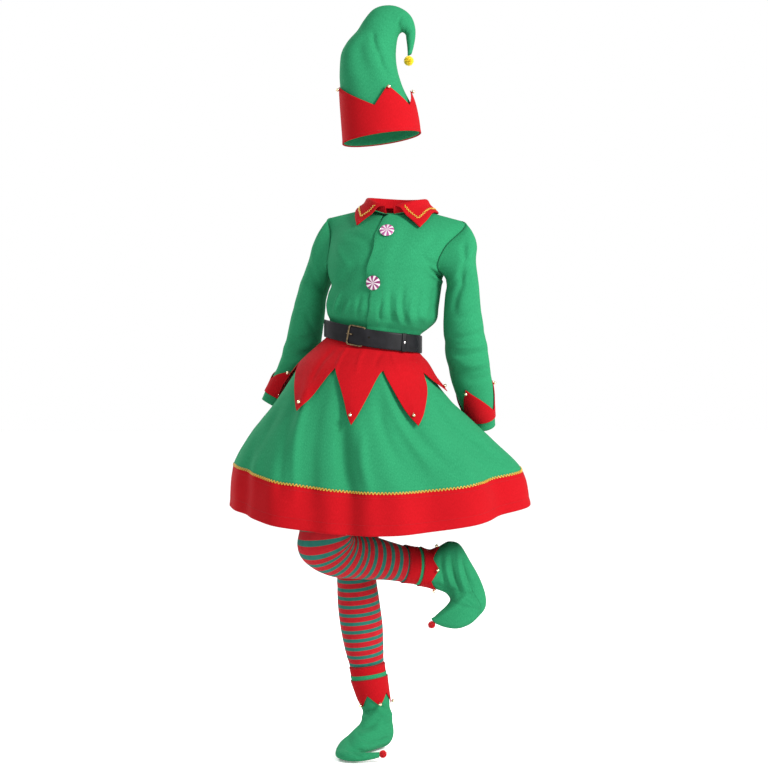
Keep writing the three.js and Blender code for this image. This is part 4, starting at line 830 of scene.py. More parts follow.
def wave_braid(points, normals, swing, period, half, high):
    """A wavy braid laid along a line: it swings to both sides with a rounded top."""
    at, out, along = resampled(points, normals, period / 10)
    path = unit(np.gradient(at, axis=0))
    side = np.cross(out, path)
    middle = at + side * (swing * np.sin(2 * np.pi * along / period))[:, None]
    run = unit(np.gradient(middle, axis=0))
    cross = unit(np.cross(out, run))
    profile = [(-1, 0), (-0.75, 0.75), (0, 1), (0.75, 0.75), (1, 0), (0, -0.12)]
    rings = np.stack([middle + cross * (half * a) + out * (high * b) for a, b in profile], axis=1)
    return swept(rings)


# Materials

def node_material(name):
    material = bpy.data.materials.new(name)
    material.use_nodes = True
    nodes = material.node_tree.nodes
    return material, nodes, material.node_tree.links, nodes["Principled BSDF"]


def set_inputs(shader, values):
    for name, value in values.items():
        shader.inputs[name].default_value = value


def noise_node(nodes, links, coordinate, scale, detail=3, rough=0.6, stretch=None):
    noise = nodes.new("ShaderNodeTexNoise")
    noise.inputs["Scale"].default_value = scale
    noise.inputs["Detail"].default_value = detail
    noise.inputs["Roughness"].default_value = rough
    if stretch is not None:
        mapping = nodes.new("ShaderNodeMapping")
        mapping.inputs["Scale"].default_value = stretch[0]
        mapping.inputs["Rotation"].default_value = (0, 0, math.radians(stretch[1]))
        links.new(coordinate, mapping.inputs["Vector"])
        coordinate = mapping.outputs["Vector"]
    links.new(coordinate, noise.inputs["Vector"])
    return noise.outputs["Fac"]


def ramp_node(nodes, links, factor, stops):
    ramp = nodes.new("ShaderNodeValToRGB")
    elements = ramp.color_ramp.elements
    while len(elements) < len(stops):
        elements.new(0.5)
    for element, (place, colour) in zip(elements, stops):
        element.position = place
        element.color = (*colour, 1)
    links.new(factor, ramp.inputs["Fac"])
    return ramp.outputs["Color"]


def mixed(nodes, links, factor, a, b, blend="MIX"):
    mix = nodes.new("ShaderNodeMix")
    mix.data_type = "RGBA"
    mix.blend_type = blend
    for value, socket in ((factor, mix.inputs[0]), (a, mix.inputs[6]), (b, mix.inputs[7])):
        if isinstance(value, (int, float)):
            socket.default_value = value
        elif isinstance(value, tuple):
            socket.default_value = (*value, 1)
        else:
            links.new(value, socket)
    return mix.outputs[2]


def maths(nodes, links, operation, a, b=0.0):
    node = nodes.new("ShaderNodeMath")
    node.operation = operation
    for value, socket in ((a, node.inputs[0]), (b, node.inputs[1])):
        if isinstance(value, (int, float)):
            socket.default_value = value
        else:
            links.new(value, socket)
    return node.outputs[0]


def bumped(nodes, links, shader, layers):
    """Bump from several heights: (height socket, strength, depth in metres)."""
    normal = None
    for height, strength, depth in layers:
        node = nodes.new("ShaderNodeBump")
        node.inputs["Strength"].default_value = strength
        node.inputs["Distance"].default_value = depth
        links.new(height, node.inputs["Height"])
        if normal is not None:
            links.new(normal, node.inputs["Normal"])
        normal = node.outputs["Normal"]
    links.new(normal, shader.inputs["Normal"])


def fleece_material(name, deep, base, light, sheen, shine):
    """Short-napped fleece: a fine mottled pile over a fine rib, with soft sheen."""
    material, nodes, links, shader = node_material(name)
    place = nodes.new("ShaderNodeTexCoord").outputs["UV"]
    space = nodes.new("ShaderNodeTexCoord").outputs["Object"]
    nap = noise_node(nodes, links, space, 900, 3, 0.6)
    cloud = noise_node(nodes, links, space, 16, 3, 0.5)
    grain = noise_node(nodes, links, place, 330, 2, 0.5, ((1.8, 0.5, 1), 12))
    rib = nodes.new("ShaderNodeTexWave")
    rib.wave_type = "BANDS"
    rib.bands_direction = "X"
    rib.inputs["Scale"].default_value = 120
    rib.inputs["Distortion"].default_value = 1.2
    links.new(place, rib.inputs["Vector"])
    mottled = maths(nodes, links, "MULTIPLY", nap, 0.4)
    mottled = maths(nodes, links, "ADD", mottled, maths(nodes, links, "MULTIPLY", grain, 0.6))
    pile = ramp_node(nodes, links, mottled, [(0.30, deep), (0.52, base), (0.76, light)])
    worn = ramp_node(nodes, links, cloud, [(0.35, (0.96, 0.96, 0.96)), (0.65, (1.0, 1.0, 1.0))])
    colour = mixed(nodes, links, 1.0, pile, worn, "MULTIPLY")
    links.new(colour, shader.inputs["Base Color"])
    set_inputs(shader, {"Roughness": 0.95, "Specular IOR Level": shine, "Sheen Weight": sheen,
                        "Sheen Roughness": 0.45, "Sheen Tint": (*light, 1)})
    bumped(nodes, links, shader, [(cloud, 0.2, 0.0012), (rib.outputs["Fac"], 0.4, 0.0004),
                                  (nap, 0.4, 0.0005)])
    return material


def knit_material(name, red, teal, period, share, phase):
    """Plain knit with teal and red stripes round the leg, in courses and wales."""
    material, nodes, links, shader = node_material(name)
    place = nodes.new("ShaderNodeTexCoord").outputs["UV"]
    split = nodes.new("ShaderNodeSeparateXYZ")
    links.new(place, split.inputs["Vector"])
    fuzz = noise_node(nodes, links, place, 900, 3, 0.7)
    cloud = noise_node(nodes, links, place, 60, 2, 0.5)
    shift = maths(nodes, links, "MULTIPLY", fuzz, 0.0009)
    along = maths(nodes, links, "ADD", split.outputs["Y"], shift)
    turns = maths(nodes, links, "ADD", maths(nodes, links, "DIVIDE", along, period), phase)
    stripe = maths(nodes, links, "FRACT", turns)
    colour = ramp_node(nodes, links, stripe, [(0.0, teal), (share - 0.03, teal), (share, red),
                                              (0.975, red), (0.999, teal)])
    shade = ramp_node(nodes, links, cloud, [(0.3, (0.88, 0.88, 0.88)), (0.7, (1.08, 1.08, 1.08))])
    colour = mixed(nodes, links, 1.0, colour, shade, "MULTIPLY")
    links.new(colour, shader.inputs["Base Color"])
    course = maths(nodes, links, "SINE", maths(nodes, links, "MULTIPLY", split.outputs["Y"], 3490.0))
    wale = maths(nodes, links, "SINE", maths(nodes, links, "MULTIPLY", split.outputs["X"], 3925.0))
    stitch = maths(nodes, links, "MULTIPLY", maths(nodes, links, "ABSOLUTE", course), wale)
    set_inputs(shader, {"Roughness": 0.85, "Specular IOR Level": 0.12, "Sheen Weight": 0.02})
    bumped(nodes, links, shader, [(stitch, 0.35, 0.0003), (fuzz, 0.3, 0.0003)])
    return material


def yarn_material(name, dark, light, rough, metal, scale):
    """Twisted yarn or braid with a thread texture."""
    material, nodes, links, shader = node_material(name)
    space = nodes.new("ShaderNodeTexCoord").outputs["Object"]
    thread = nodes.new("ShaderNodeTexWave")
    thread.bands_direction = "DIAGONAL"
    thread.inputs["Scale"].default_value = scale
    thread.inputs["Distortion"].default_value = 3
    links.new(space, thread.inputs["Vector"])
    mottled = noise_node(nodes, links, space, 300, 3, 0.6)
    mix = maths(nodes, links, "MULTIPLY", maths(nodes, links, "ADD", thread.outputs["Fac"], mottled), 0.5)
    links.new(ramp_node(nodes, links, mix, [(0.25, dark), (0.7, light)]), shader.inputs["Base Color"])
    set_inputs(shader, {"Roughness": rough, "Metallic": metal})
    bumped(nodes, links, shader, [(thread.outputs["Fac"], 0.5, 0.0003)])
    return material


def metal_material(name, dark, light, rough, wear_scale):
    material, nodes, links, shader = node_material(name)
    space = nodes.new("ShaderNodeTexCoord").outputs["Object"]
    wear = noise_node(nodes, links, space, wear_scale, 4, 0.65)
    fine = noise_node(nodes, links, space, wear_scale * 6, 3, 0.6)
    links.new(ramp_node(nodes, links, wear, [(0.35, dark), (0.62, light)]), shader.inputs["Base Color"])
    rough_socket = ramp_node(nodes, links, fine, [(0.3, (rough * 0.8,) * 3), (0.7, (rough * 1.25,) * 3)])
    links.new(rough_socket, shader.inputs["Roughness"])
    shader.inputs["Metallic"].default_value = 1.0
    bumped(nodes, links, shader, [(fine, 0.15, 0.0002)])
    return material


def leather_material(name):
    material, nodes, links, shader = node_material(name)
    space = nodes.new("ShaderNodeTexCoord").outputs["Object"]
    pebble = nodes.new("ShaderNodeTexVoronoi")
    pebble.inputs["Scale"].default_value = 900
    links.new(space, pebble.inputs["Vector"])
    cloud = noise_node(nodes, links, space, 40, 3, 0.55)
    colour = ramp_node(nodes, links, cloud, [(0.3, (0.003, 0.003, 0.004)), (0.7, (0.008, 0.008, 0.010))])
    links.new(colour, shader.inputs["Base Color"])
    set_inputs(shader, {"Roughness": 0.46, "Specular IOR Level": 0.13, "Coat Weight": 0.02,
                        "Coat Roughness": 0.3})
    bumped(nodes, links, shader, [(pebble.outputs["Distance"], 0.25, 0.0003), (cloud, 0.15, 0.0006)])
    return material


def button_material(name, wedge, pale, cream):
    """Glossy button with slightly curved wedges round a small centre."""
    material, nodes, links, shader = node_material(name)
    place = nodes.new("ShaderNodeTexCoord").outputs["UV"]
    split = nodes.new("ShaderNodeSeparateXYZ")
    links.new(place, split.inputs["Vector"])
    x, y = split.outputs["X"], split.outputs["Y"]
    radius = maths(nodes, links, "SQRT", maths(nodes, links, "ADD",
                   maths(nodes, links, "MULTIPLY", x, x), maths(nodes, links, "MULTIPLY", y, y)))
    angle = maths(nodes, links, "ARCTAN2", y, x)
    twist = maths(nodes, links, "ADD", maths(nodes, links, "MULTIPLY", angle, 8 / (2 * math.pi)),
                  maths(nodes, links, "MULTIPLY", radius, 9.0))
    saw = maths(nodes, links, "FRACT", maths(nodes, links, "ADD", twist, 20.0))
    cloud = noise_node(nodes, links, place, 120, 2, 0.5)
    tint = mixed(nodes, links, cloud, wedge, pale)
    band = ramp_node(nodes, links, saw, [(0.0, (0, 0, 0)), (0.05, (1, 1, 1)), (0.56, (1, 1, 1)),
                                         (0.61, (0, 0, 0))])
    colour = mixed(nodes, links, band, cream, tint)
    rim = ramp_node(nodes, links, maths(nodes, links, "MULTIPLY", radius, 50.0),
                    [(0.06, (1, 1, 1)), (0.08, (0, 0, 0)), (0.93, (0, 0, 0)), (0.96, (1, 1, 1))])
    colour = mixed(nodes, links, rim, colour, cream)
    links.new(colour, shader.inputs["Base Color"])
    set_inputs(shader, {"Roughness": 0.16, "Coat Weight": 0.4})
    bumped(nodes, links, shader, [(cloud, 0.05, 0.0002)])
    return material


GREEN = fleece_material("green_fleece", (0.009, 0.130, 0.054), (0.016, 0.173, 0.075),
                        (0.027, 0.222, 0.104), 0.2, 0.07)
RED = fleece_material("red_cloth", (0.24, 0.0015, 0.0035), (0.30, 0.0022, 0.0055),
                      (0.37, 0.0045, 0.010), 0.03, 0.1)
GOLD = yarn_material("gold_braid", (0.22, 0.11, 0.008), (0.62, 0.38, 0.03), 0.45, 0.15, 260)
YELLOW = yarn_material("yellow_wool", (0.70, 0.48, 0.01), (0.92, 0.76, 0.04), 0.9, 0, 400)
RED_WOOL = yarn_material("red_wool", (0.42, 0.004, 0.008), (0.70, 0.012, 0.02), 0.9, 0, 400)
RED_THREAD = yarn_material("red_thread", (0.14, 0.002, 0.004), (0.24, 0.003, 0.007), 0.7, 0, 500)
# Black for the boots' serging lines, which also paint the shadow in the gaps at the band and point edges.
BLACK_SERGING_AND_EDGE_SHADE = yarn_material("serging_and_edge_shade_black", (0.006, 0.004, 0.004), (0.02, 0.012, 0.012), 0.8, 0, 500)
GREEN_THREAD = yarn_material("green_thread", (0.005, 0.07, 0.028), (0.010, 0.12, 0.05), 0.7, 0, 500)
LEATHER = leather_material("belt_leather")
BRASS = metal_material("antique_brass", (0.05, 0.038, 0.024), (0.20, 0.145, 0.08), 0.4, 160)
BELL = metal_material("bell_metal", (0.55, 0.43, 0.24), (0.86, 0.76, 0.54), 0.2, 220)
# Near-black paint that stands for the shade inside the bell slots and the belt holes.
PAINTED_HOLE_SHADE = metal_material("painted_hole_shade", (0.008, 0.007, 0.005), (0.02, 0.016, 0.01), 0.7, 200)
STEEL = metal_material("rivet_steel", (0.55, 0.55, 0.56), (0.85, 0.85, 0.86), 0.22, 300)
LILAC = button_material("button_lilac", (0.20, 0.025, 0.13), (0.27, 0.05, 0.18), (0.46, 0.42, 0.45))
MAGENTA = button_material("button_magenta", (0.10, 0.001, 0.055), (0.16, 0.004, 0.085),
                          (0.48, 0.43, 0.46))


# Creases

# Creases seen from the front (face 1) or the back (face -1): both ends, half width, height.
CREASES = table(
    "x1 z1 x2 z2 half out face",
    (94, -152, 138, -177, 5, -4.6, 1), (-136, -216, -150, -274, 4.5, 3.6, 1),
    (-127, -234, -139, -284, 5, -3.2, 1), (-114, -240, -124, -286, 5, 3.0, 1),
    (96, -166, 130, -184, 5, 2.6, 1), (74, -126, 116, -147, 9, -2.2, 1),
    (-30, -238, -34, -288, 5, -2.4, 1), (-84, -226, -90, -288, 6, -2.4, 1),
    (-6, -214, -3, -286, 6, -2.6, 1), (10, -226, 16, -290, 6, 2.6, 1),
    (27, -206, 30, -288, 6.5, -3.0, 1), (48, -232, 44, -290, 6, 2.4, 1),
    (70, -214, 62, -286, 7, -2.8, 1), (92, -240, 80, -286, 7, 2.6, 1),
    (112, -196, 104, -262, 9, -2.4, 1), (-96, -150, -140, -196, 13, -3, 1),
    (-148, -92, -112, -150, 12, 2.4, 1), (60, -120, 112, -70, 14, -2.4, 1),
    (-60, -90, -118, -62, 12, -2.0, 1), (182, -88, 185, -132, 9, -4.5, 1),
    (185, -132, 174, -195, 9, -5.0, 1), (174, -195, 155, -262, 9, -4.5, 1),
    (206, -150, 214, -232, 9, 2.6, 1), (150, -276, 224, -262, 8, -2.6, 1),
    (146, -330, 238, -312, 8, -3.6, 1), (150, -352, 236, -344, 7, 3.0, 1),
    (152, -374, 240, -362, 7, -3.6, 1), (172, -398, 246, -392, 8, 2.4, 1),
    (190, -438, 254, -424, 8, -2.4, 1), (-276, -332, -206, -322, 8, -4.0, 1),
    (-282, -350, -214, -346, 7, 3.4, 1), (-290, -372, -222, -362, 7, -3.2, 1),
    (-262, -246, -196, -262, 10, -3.0, 1), (-240, -180, -186, -212, 12, 2.4, 1),
    (-228, -262, -196, -320, 9, -2.4, 1), (-300, -396, -240, -384, 7, 2.4, 1),
    (-138, -150, -76, -196, 7, -3.6, -1), (134, -150, 70, -202, 7, -3.6, -1),
    (-134, -168, -84, -214, 7, 2.6, -1), (126, -170, 78, -220, 7, 2.6, -1),
    (-112, -226, -108, -286, 5, 3.0, -1), (-92, -236, -92, -286, 5.5, -3.4, -1),
    (-60, -216, -58, -292, 5.5, 3.4, -1), (-40, -232, -40, -292, 5.5, -3.4, -1),
    (-8, -226, -10, -292, 5, 2.8, -1), (18, -238, 14, -294, 5.5, -3.2, -1),
    (48, -222, 42, -294, 5.5, 3.2, -1), (76, -236, 66, -292, 5.5, -3.4, -1),
    (100, -226, 88, -290, 5, 2.8, -1), (190, -210, 168, -280, 9, -3.4, -1),
    (152, -340, 236, -328, 8, -3.2, -1), (156, -366, 240, -356, 7, 2.8, -1),
    (-276, -326, -206, -330, 8, -3.2, -1), (-286, -352, -216, -350, 7, 2.8, -1),
    (-250, -230, -196, -268, 10, -3.0, -1),
)
SKIRT_CREASES = table(
    "x1 z1 x2 z2 half out face",
    (-211, -461, -244, -713, 11, 6, 1), (-247, -502, -283, -713, 14, -6, 1),
    (-129, -538, -108, -707, 13, -6.5, 1), (-149, -460, -180, -713, 16, 3, 1),
    (-77, -574, -57, -713, 11, 5, 1), (-36, -502, 16, -641, 13, -6, 1),
    (10, -486, 153, -662, 15, -6, 1), (-26, -446, 82, -641, 12, 5, 1),
    (118, -487, 231, -651, 14, 5, 1), (128, -538, 272, -641, 12, -6, 1),
    (-320, -560, -350, -690, 13, 5, 1), (170, -620, 236, -730, 15, 4, 1),
    (-108, -343, -149, -435, 5, 2.2, 1), (-149, -358, -205, -446, 6, -2.4, 1),
    (-5, -363, 10, -410, 6, 2, 1), (-21, -358, -46, -404, 6, -2, 1),
    (-70, -352, -92, -420, 6, 2, 1), (36, -366, 62, -420, 6, -1.8, 1),
    (-214, -470, -262, -700, 13, -6, -1), (-150, -460, -176, -706, 13, 5, -1),
    (-86, -480, -96, -700, 12, -6, -1), (-30, -470, -20, -706, 13, 5, -1),
    (36, -480, 62, -700, 13, -6, -1), (96, -470, 150, -690, 13, 5, -1),
    (150, -480, 230, -670, 13, -6, -1), (-290, -560, -330, -690, 12, 5, -1),
    (-130, -350, -160, -430, 6, 2, -1), (-60, -350, -70, -430, 6, -2, -1),
    (10, -355, 24, -430, 6, 2, -1),
)
HAT_CREASES = table(
    "x1 z1 x2 z2 half out face",
    (-52, 456, -36, 402, 8, -5.5, 1), (-34, 398, -15, 354, 8, -6.5, 1),
    (-14, 352, 6, 314, 8, -4.5, 1), (-74, 430, -52, 372, 12, 2.4, 1),
    (-92, 326, -64, 306, 6, -3.0, 1), (-100, 340, -70, 334, 8, 1.8, 1),
    (22, 500, 12, 476, 5, -2.4, 1), (44, 470, 34, 452, 4, -1.6, 1),
    (-60, 430, -46, 360, 9, -4.0, -1), (-96, 400, -88, 350, 9, 2.4, -1),
    (-20, 410, -24, 352, 8, -2.6, -1), (0, 500, 6, 470, 5, -2.2, -1),
)
BOOT_CREASES = table(
    "x1 z1 x2 z2 half out face",
    (124, -900, 141, -975, 5, -4, 1), (137, -892, 153, -975, 5, 3, 1),
    (151, -896, 172, -983, 5, -4, 1), (168, -884, 188, -983, 5.5, 3, 1),
    (184, -892, 206, -972, 5, -3.4, 1), (112, -968, 205, -983, 4.5, -3, 1),
    (118, -1049, 188, -996, 7, 2.4, 1), (150, -1010, 220, -1030, 6, -2, 1),
    (-90, -1310, -42, -1295, 5.5, -4.4, 1), (-94, -1325, -44, -1311, 5.5, 3.6, 1),
    (-92, -1341, -40, -1328, 5.5, -4.2, 1), (-84, -1354, -34, -1344, 5.5, 3.0, 1),
    (-34, -1290, 2, -1302, 5.5, -3.8, 1), (-36, -1304, 2, -1317, 5.5, 3.0, 1),
    (-26, -1330, 6, -1340, 6, -3.2, 1), (-73, -1364, -11, -1374, 5.5, -3.6, 1),
    (-118, -1362, -82, -1388, 6, -3.2, 1), (-104, -1350, -72, -1374, 6, 2.6, 1),
    (130, -896, 148, -975, 6, -3.6, -1), (156, -892, 178, -980, 6, 3, -1),
    (172, -890, 200, -976, 6, -3.4, -1), (116, -966, 200, -984, 5, -2.6, -1),
    (-80, -1325, -30, -1312, 5, -2.8, -1), (-70, -1345, -16, -1342, 5, 2.4, -1),
    (-40, -1300, -8, -1292, 5, -2.4, -1),
)


def pressed(creases):
    """A function of a place and its normal that gives how far the creases move the cloth."""

    def press(place, normal):
        x, z = place[..., 0], place[..., 2]
        total = np.zeros_like(x)
        front = smooth(0.5 - 1.4 * normal[..., 1])
        for k in range(len(creases["x1"])):
            x1, z1 = creases["x1"][k], creases["z1"][k]
            dx, dz = creases["x2"][k] - x1, creases["z2"][k] - z1
            long = math.hypot(dx, dz)
            share = ((x - x1) * dx + (z - z1) * dz) / long ** 2
            bow = 0.06 * long * np.sin(np.pi * np.clip(share, 0, 1))
            off = np.abs(((x - x1) * dz - (z - z1) * dx) / long - bow)
            ends = smooth((share + 0.25) / 0.5) * smooth((1.25 - share) / 0.5)
            facing = front if creases["face"][k] > 0 else 1 - front
            total += creases["out"][k] * bump(off, creases["half"][k]) * ends * facing
        return total

    return press


def unevenness(place):
    """The soft unevenness of hanging fleece, under a millimetre high."""
    x, y, z = place[..., 0], place[..., 1], place[..., 2]
    long = np.sin(x / 23 + z / 41) + np.sin(x / 37 - z / 29 + 1.3) + np.sin(z / 17 + y / 31 + 0.7)
    fine = np.sin(x / 6.1 + z / 9.3 + y / 7.0) + np.sin(z / 5.3 - x / 8.7 + 2.1)
    return 0.26 * long + 0.07 * fine


dress_creases = pressed(CREASES)
skirt_creases = pressed(SKIRT_CREASES)
hat_creases = pressed(HAT_CREASES)
boot_creases = pressed(BOOT_CREASES)


def dress_relief(place, normal, u, v):
    free = smooth((place[..., 2] - WAIST["tilt"] * (place[..., 0] - WAIST["x"]) + 292) / 18)
    return (1.5 * dress_creases(place, normal) + unevenness(place)) * free


def sleeve_relief(place, normal, u, v):
    free = smooth((v - 0.05) / 0.7)
    return (1.25 * dress_creases(place, normal) + unevenness(place)) * free


def skirt_relief(place, normal, u, v):
    folds = skirt_creases(place, normal) * smooth((v - 0.03) / 0.08)
    return folds + 1.2 * unevenness(place) * smooth((v - 0.1) / 0.2)


def crown_relief(place, normal, u, v):
    free = smooth((v - 3.1) / 0.7)
    return (hat_creases(place, normal) + unevenness(place)) * free


def boot_relief(place, normal, u, v):
    free = smooth((v - 1.5) / 0.9)
    return 1.3 * boot_creases(place, normal) * free + 0.5 * unevenness(place)


def plain_relief(place, normal, u, v):
    return 0.5 * unevenness(place)


# Cloth pieces

def cloth(node, surface, u, v, lift, material, thick=FLEECE, closed=False, relief=plain_relief,
          pull=1.0, slant=0.0):
    """One cloth piece on a surface, in place of its solid; pull and slant carry its stripes."""
    u, v = paired(u, v)
    place = surface.point(u, v)
    normal = surface.normal(u, v)
    out = np.broadcast_to(lift, u.shape) + relief(place, normal, u, v)
    outer = place + normal * out[..., None]
    thick = np.broadcast_to(thick, u.shape)
    inner = outer - normal * thick[..., None]
    shape = sheet_shape(outer, inner, closed, pull, slant)
    return make("cloth_" + node, shape, material, [node])


HEIGHT_STEPS = [-322.2, -295.6, -282, -262, -234, -200, -172, -156.5, -146, -120, -86, -56, -36,
                -24, -14, -2, 12, 24.8]
heights = finer(HEIGHT_STEPS, 9, 6, 8, 10, 11, 9, 6, 5, 9, 11, 10, 7, 5, 5, 6, 8, 10)
share = np.linspace(0, 1, 76)[None, :]
z_grid = heights[:, None]


def under_inner(z):
    neck = -np.maximum(neck_angle(z, False), 6)
    return 0.85 * LAP_ANGLE + (neck - 0.85 * LAP_ANGLE) * smooth((z + 36) / 12)


def lap_edge(z):
    near = 1 - smooth((np.abs(z - LAP_SWAY_Z) - LAP_SWAY_HALF) / LAP_SWAY_FADE)
    return LAP_EDGE + LAP_SWAY * near * np.sin(np.pi * (z - LAP_SWAY_Z) / LAP_SWAY_HALF)


def lap_inner(z):
    return lap_edge(z) + (neck_angle(z, False) - lap_edge(z)) * smooth((z + 24) / 10)


inner = under_inner(z_grid)
cloth("bodice_front_right", BODY, inner - share * (side_angle(z_grid, False) + inner), z_grid, 0.0,
      GREEN, relief=dress_relief)

inner = lap_inner(z_grid)
lap_u = inner + share * (side_angle(z_grid, False) - inner)


def lap_lift(u, z):
    near = 1 - smooth((np.abs(z - LAP_GAPE_Z) - LAP_GAPE_HALF) / LAP_GAPE_FADE)
    gape = LAP_GAPE * near * np.exp((lap_edge(z) - u) / LAP_GAPE_REACH)
    return LAP_LIFT * (1 - smooth((u - LAP_ANGLE - 1) / 12)) + gape


cloth("bodice_front_left", BODY, lap_u, z_grid, lap_lift(lap_u, z_grid), GREEN,
      relief=dress_relief)


def back_top(part):
    """The height at which a column of the back ends at the neck hole."""
    top = heights[-1]
    low = np.full_like(part, -40.0)
    high = np.full_like(part, top)
    for _ in range(30):
        z = (low + high) / 2
        inside = neck_angle(z, True) > part * side_angle(z, True)
        high = np.where(inside, z, high)
        low = np.where(inside, low, z)
    free = part * side_angle(top, True) > neck_angle(top, True)
    return np.where(free, top, low)


part = np.linspace(-1, 1, 117)[None, :]
stretch = (back_top(np.abs(part)) - heights[0]) / (heights[-1] - heights[0])
back_z = heights[0] + (z_grid - heights[0]) * stretch
cloth("bodice_back", BODY, 180 + part * side_angle(back_z, True), back_z, 0.0, GREEN,
      relief=dress_relief)

SLEEVE_STEPS = finer([0, 0.4, 0.9, 1.5, 2.1, 2.8, 3.6, 4.4, 4.9, 5.4, 6.2, 7.1, 8, 8.9],
                     6, 8, 9, 8, 9, 10, 10, 8, 8, 10, 10, 9, 8)
around = np.linspace(0, 360, 97)[:-1]
for side, surface in (("left", LEFT_ARM), ("right", RIGHT_ARM)):
    cloth("sleeve_" + side, surface, around[None, :], SLEEVE_STEPS[:, None], 0.0, GREEN,
          closed=True, relief=sleeve_relief)
    angles, edges = pointed_edge(*CUFF_EDGES[side], 16)
    t = np.linspace(0, 1, 26)[:, None]
    cuff_v = edges[None, :] + (CUFF_POINTS_END - edges[None, :]) * t
    cloth("cuff_points_" + side, surface, angles[None, :], cuff_v, CUFF_POINTS_OUT[side], RED,
          closed=True, relief=sleeve_relief)
    t = np.linspace(CUFF_BAND_START, 10, 14)[:, None]
    cloth("cuff_band_" + side, surface, around[None, :], t, FLEECE / 2, GREEN,
          closed=True, relief=sleeve_relief)

collar_u = finer([-1, -0.94, -0.88, -0.78, -0.66, -0.52, -0.36, -0.18, 0,
                  0.18, 0.36, 0.52, 0.66, 0.78, 0.88, 0.94, 1], 6, 6, 7, 7, 8, 9, 10, 10,
                 10, 10, 9, 8, 7, 7, 6, 6)[None, :]
collar_v = finer([0, 0.6, 0.95, 1.1, 1.3, 1.65, 2], 5, 6, 5, 6, 9, 12)[:, None]
roll = 1.1 * bump(collar_v - 1.93, 0.07) + 0.9 * bump(1 - np.abs(collar_u), 0.03)
roll = roll * smooth((collar_v - 1.1) / 0.3)
cloth("collar", COLLAR, collar_u, collar_v, roll, RED, thick=FLEECE + 1.4 * roll)

for name, turned in (("front", 0), ("back", 180)):
    half_u = np.linspace(-89.88, 89.88, 201)[None, :] + turned
    v = finer([0.003, 0.05, 0.085, 0.16, 0.28, 0.42, 0.6, TRIM_V - 0.0012],
              3, 4, 5, 8, 10, 12, 13)[:, None]
    cloth("skirt_" + name, SKIRT, half_u, v, 0.0, GREEN, relief=skirt_relief)
    v = finer([TRIM_V + 0.0012, 0.9, 1], 10)[:, None]
    hem_roll = 0.8 * bump(v - 0.995, 0.012)
    cloth("hem_band_" + name, SKIRT, half_u, v, hem_roll, RED,
          thick=FLEECE + 1.6 * hem_roll, relief=skirt_relief)

for name, first, last in (("front", 2, 5), ("back", 6, 9)):
    angles, edges = leaf_edge(first, last, 22)
    angles[0] += 0.15
    angles[-1] -= 0.15
    top_v = np.broadcast_to(np.linspace(LEAF_START, LEAF_BEND, 8)[:, None], (8, len(angles)))
    t = finer([0, 0.22, 0.5, BELL_SHARE, 1], 9, 9, 12, 5)[1:, None]
    leaf_v = np.concatenate([top_v, LEAF_BEND + (edges[None, :] - LEAF_BEND) * t])
    cloth("peplum_" + name, SKIRT, angles[None, :], leaf_v, leaf_lift(leaf_v), RED,
          relief=skirt_relief)

crown_v = finer([0.05, 1, 2, 3, 4, 5, 6, 7, 8, 9, 10, 11, 12, 13, 14.3, 16],
                5, 5, 6, 8, 8, 8, 8, 8, 7, 7, 6, 6, 6, 6, 6)[:, None]
deep = row_at(CROWN_ROWS, "t", crown_v)["deep"]
crown_gap = np.degrees((SEAM + 0.1) / np.minimum(deep, 60))
for name, start in (("front", 0), ("back", 180)):
    crown_u = start + crown_gap + np.linspace(0, 1, 74)[None, :] * (180 - 2 * crown_gap)
    cloth("hat_crown_" + name, CROWN, crown_u, crown_v, 0.0, GREEN,
          relief=crown_relief)
angles, edges = pointed_edge(BRIM_PEAKS, BRIM_VALLEYS, 20)
t = np.linspace(0, 1, 30)[:, None]
brim_roll = 0.7 * bump(t, 0.05)
cloth("hat_brim", BRIM, angles[None, :], edges[None, :] * t, BRIM_OUT + brim_roll, RED,
      thick=FLEECE + brim_roll, closed=True)

STRIPE_RED = (0.30, 0.006, 0.011)
STRIPE_TEAL = (0.012, 0.105, 0.080)
KNIT_RAISED = knit_material("striped_knit_raised", STRIPE_RED, STRIPE_TEAL, 0.0225, 0.42, 0.1)
KNIT_STANDING = knit_material("striped_knit_standing", STRIPE_RED, STRIPE_TEAL, 0.0222, 0.42, 0.3)


def raised_relief(place, normal, u, v):
    """Wrinkles that fan out of the bent knee's hollow."""
    hollow = bump(apart(u, 0), 62) * smooth((v - 2.4) / 1.2) * smooth((11 - v) / 1.5)
    return hollow * 1.1 * np.cos(v * 2 * math.pi / 0.85) + 0.25 * unevenness(place)


def standing_relief(place, normal, u, v):
    ankle = smooth((v - 7.6) / 0.8) * smooth((9.6 - v) / 0.3)
    knee = bump(v - 4.6, 0.9) * bump(apart(u, 0), 60)
    rings = np.cos(v * 2 * math.pi / 0.42 + 0.9 * np.sin(np.radians(u)))
    return (0.35 * ankle + 0.5 * knee) * rings + 0.25 * unevenness(place)


around = np.linspace(0, 360, 81)[:-1][None, :]
left_v = np.linspace(0, 14, 151)
shin = smooth((left_v[1:] - 7.5) / 2.5)
cloth("stocking_left", RAISED_LEG, around, left_v[:, None], 0.0, KNIT_RAISED, KNIT,
      True, raised_relief, pull=1.12 - 0.36 * shin)
cloth("stocking_right", STANDING_LEG, around, np.linspace(0, 10, 131)[:, None], 0.0, KNIT_STANDING,
      KNIT, True, standing_relief, slant=0.14)

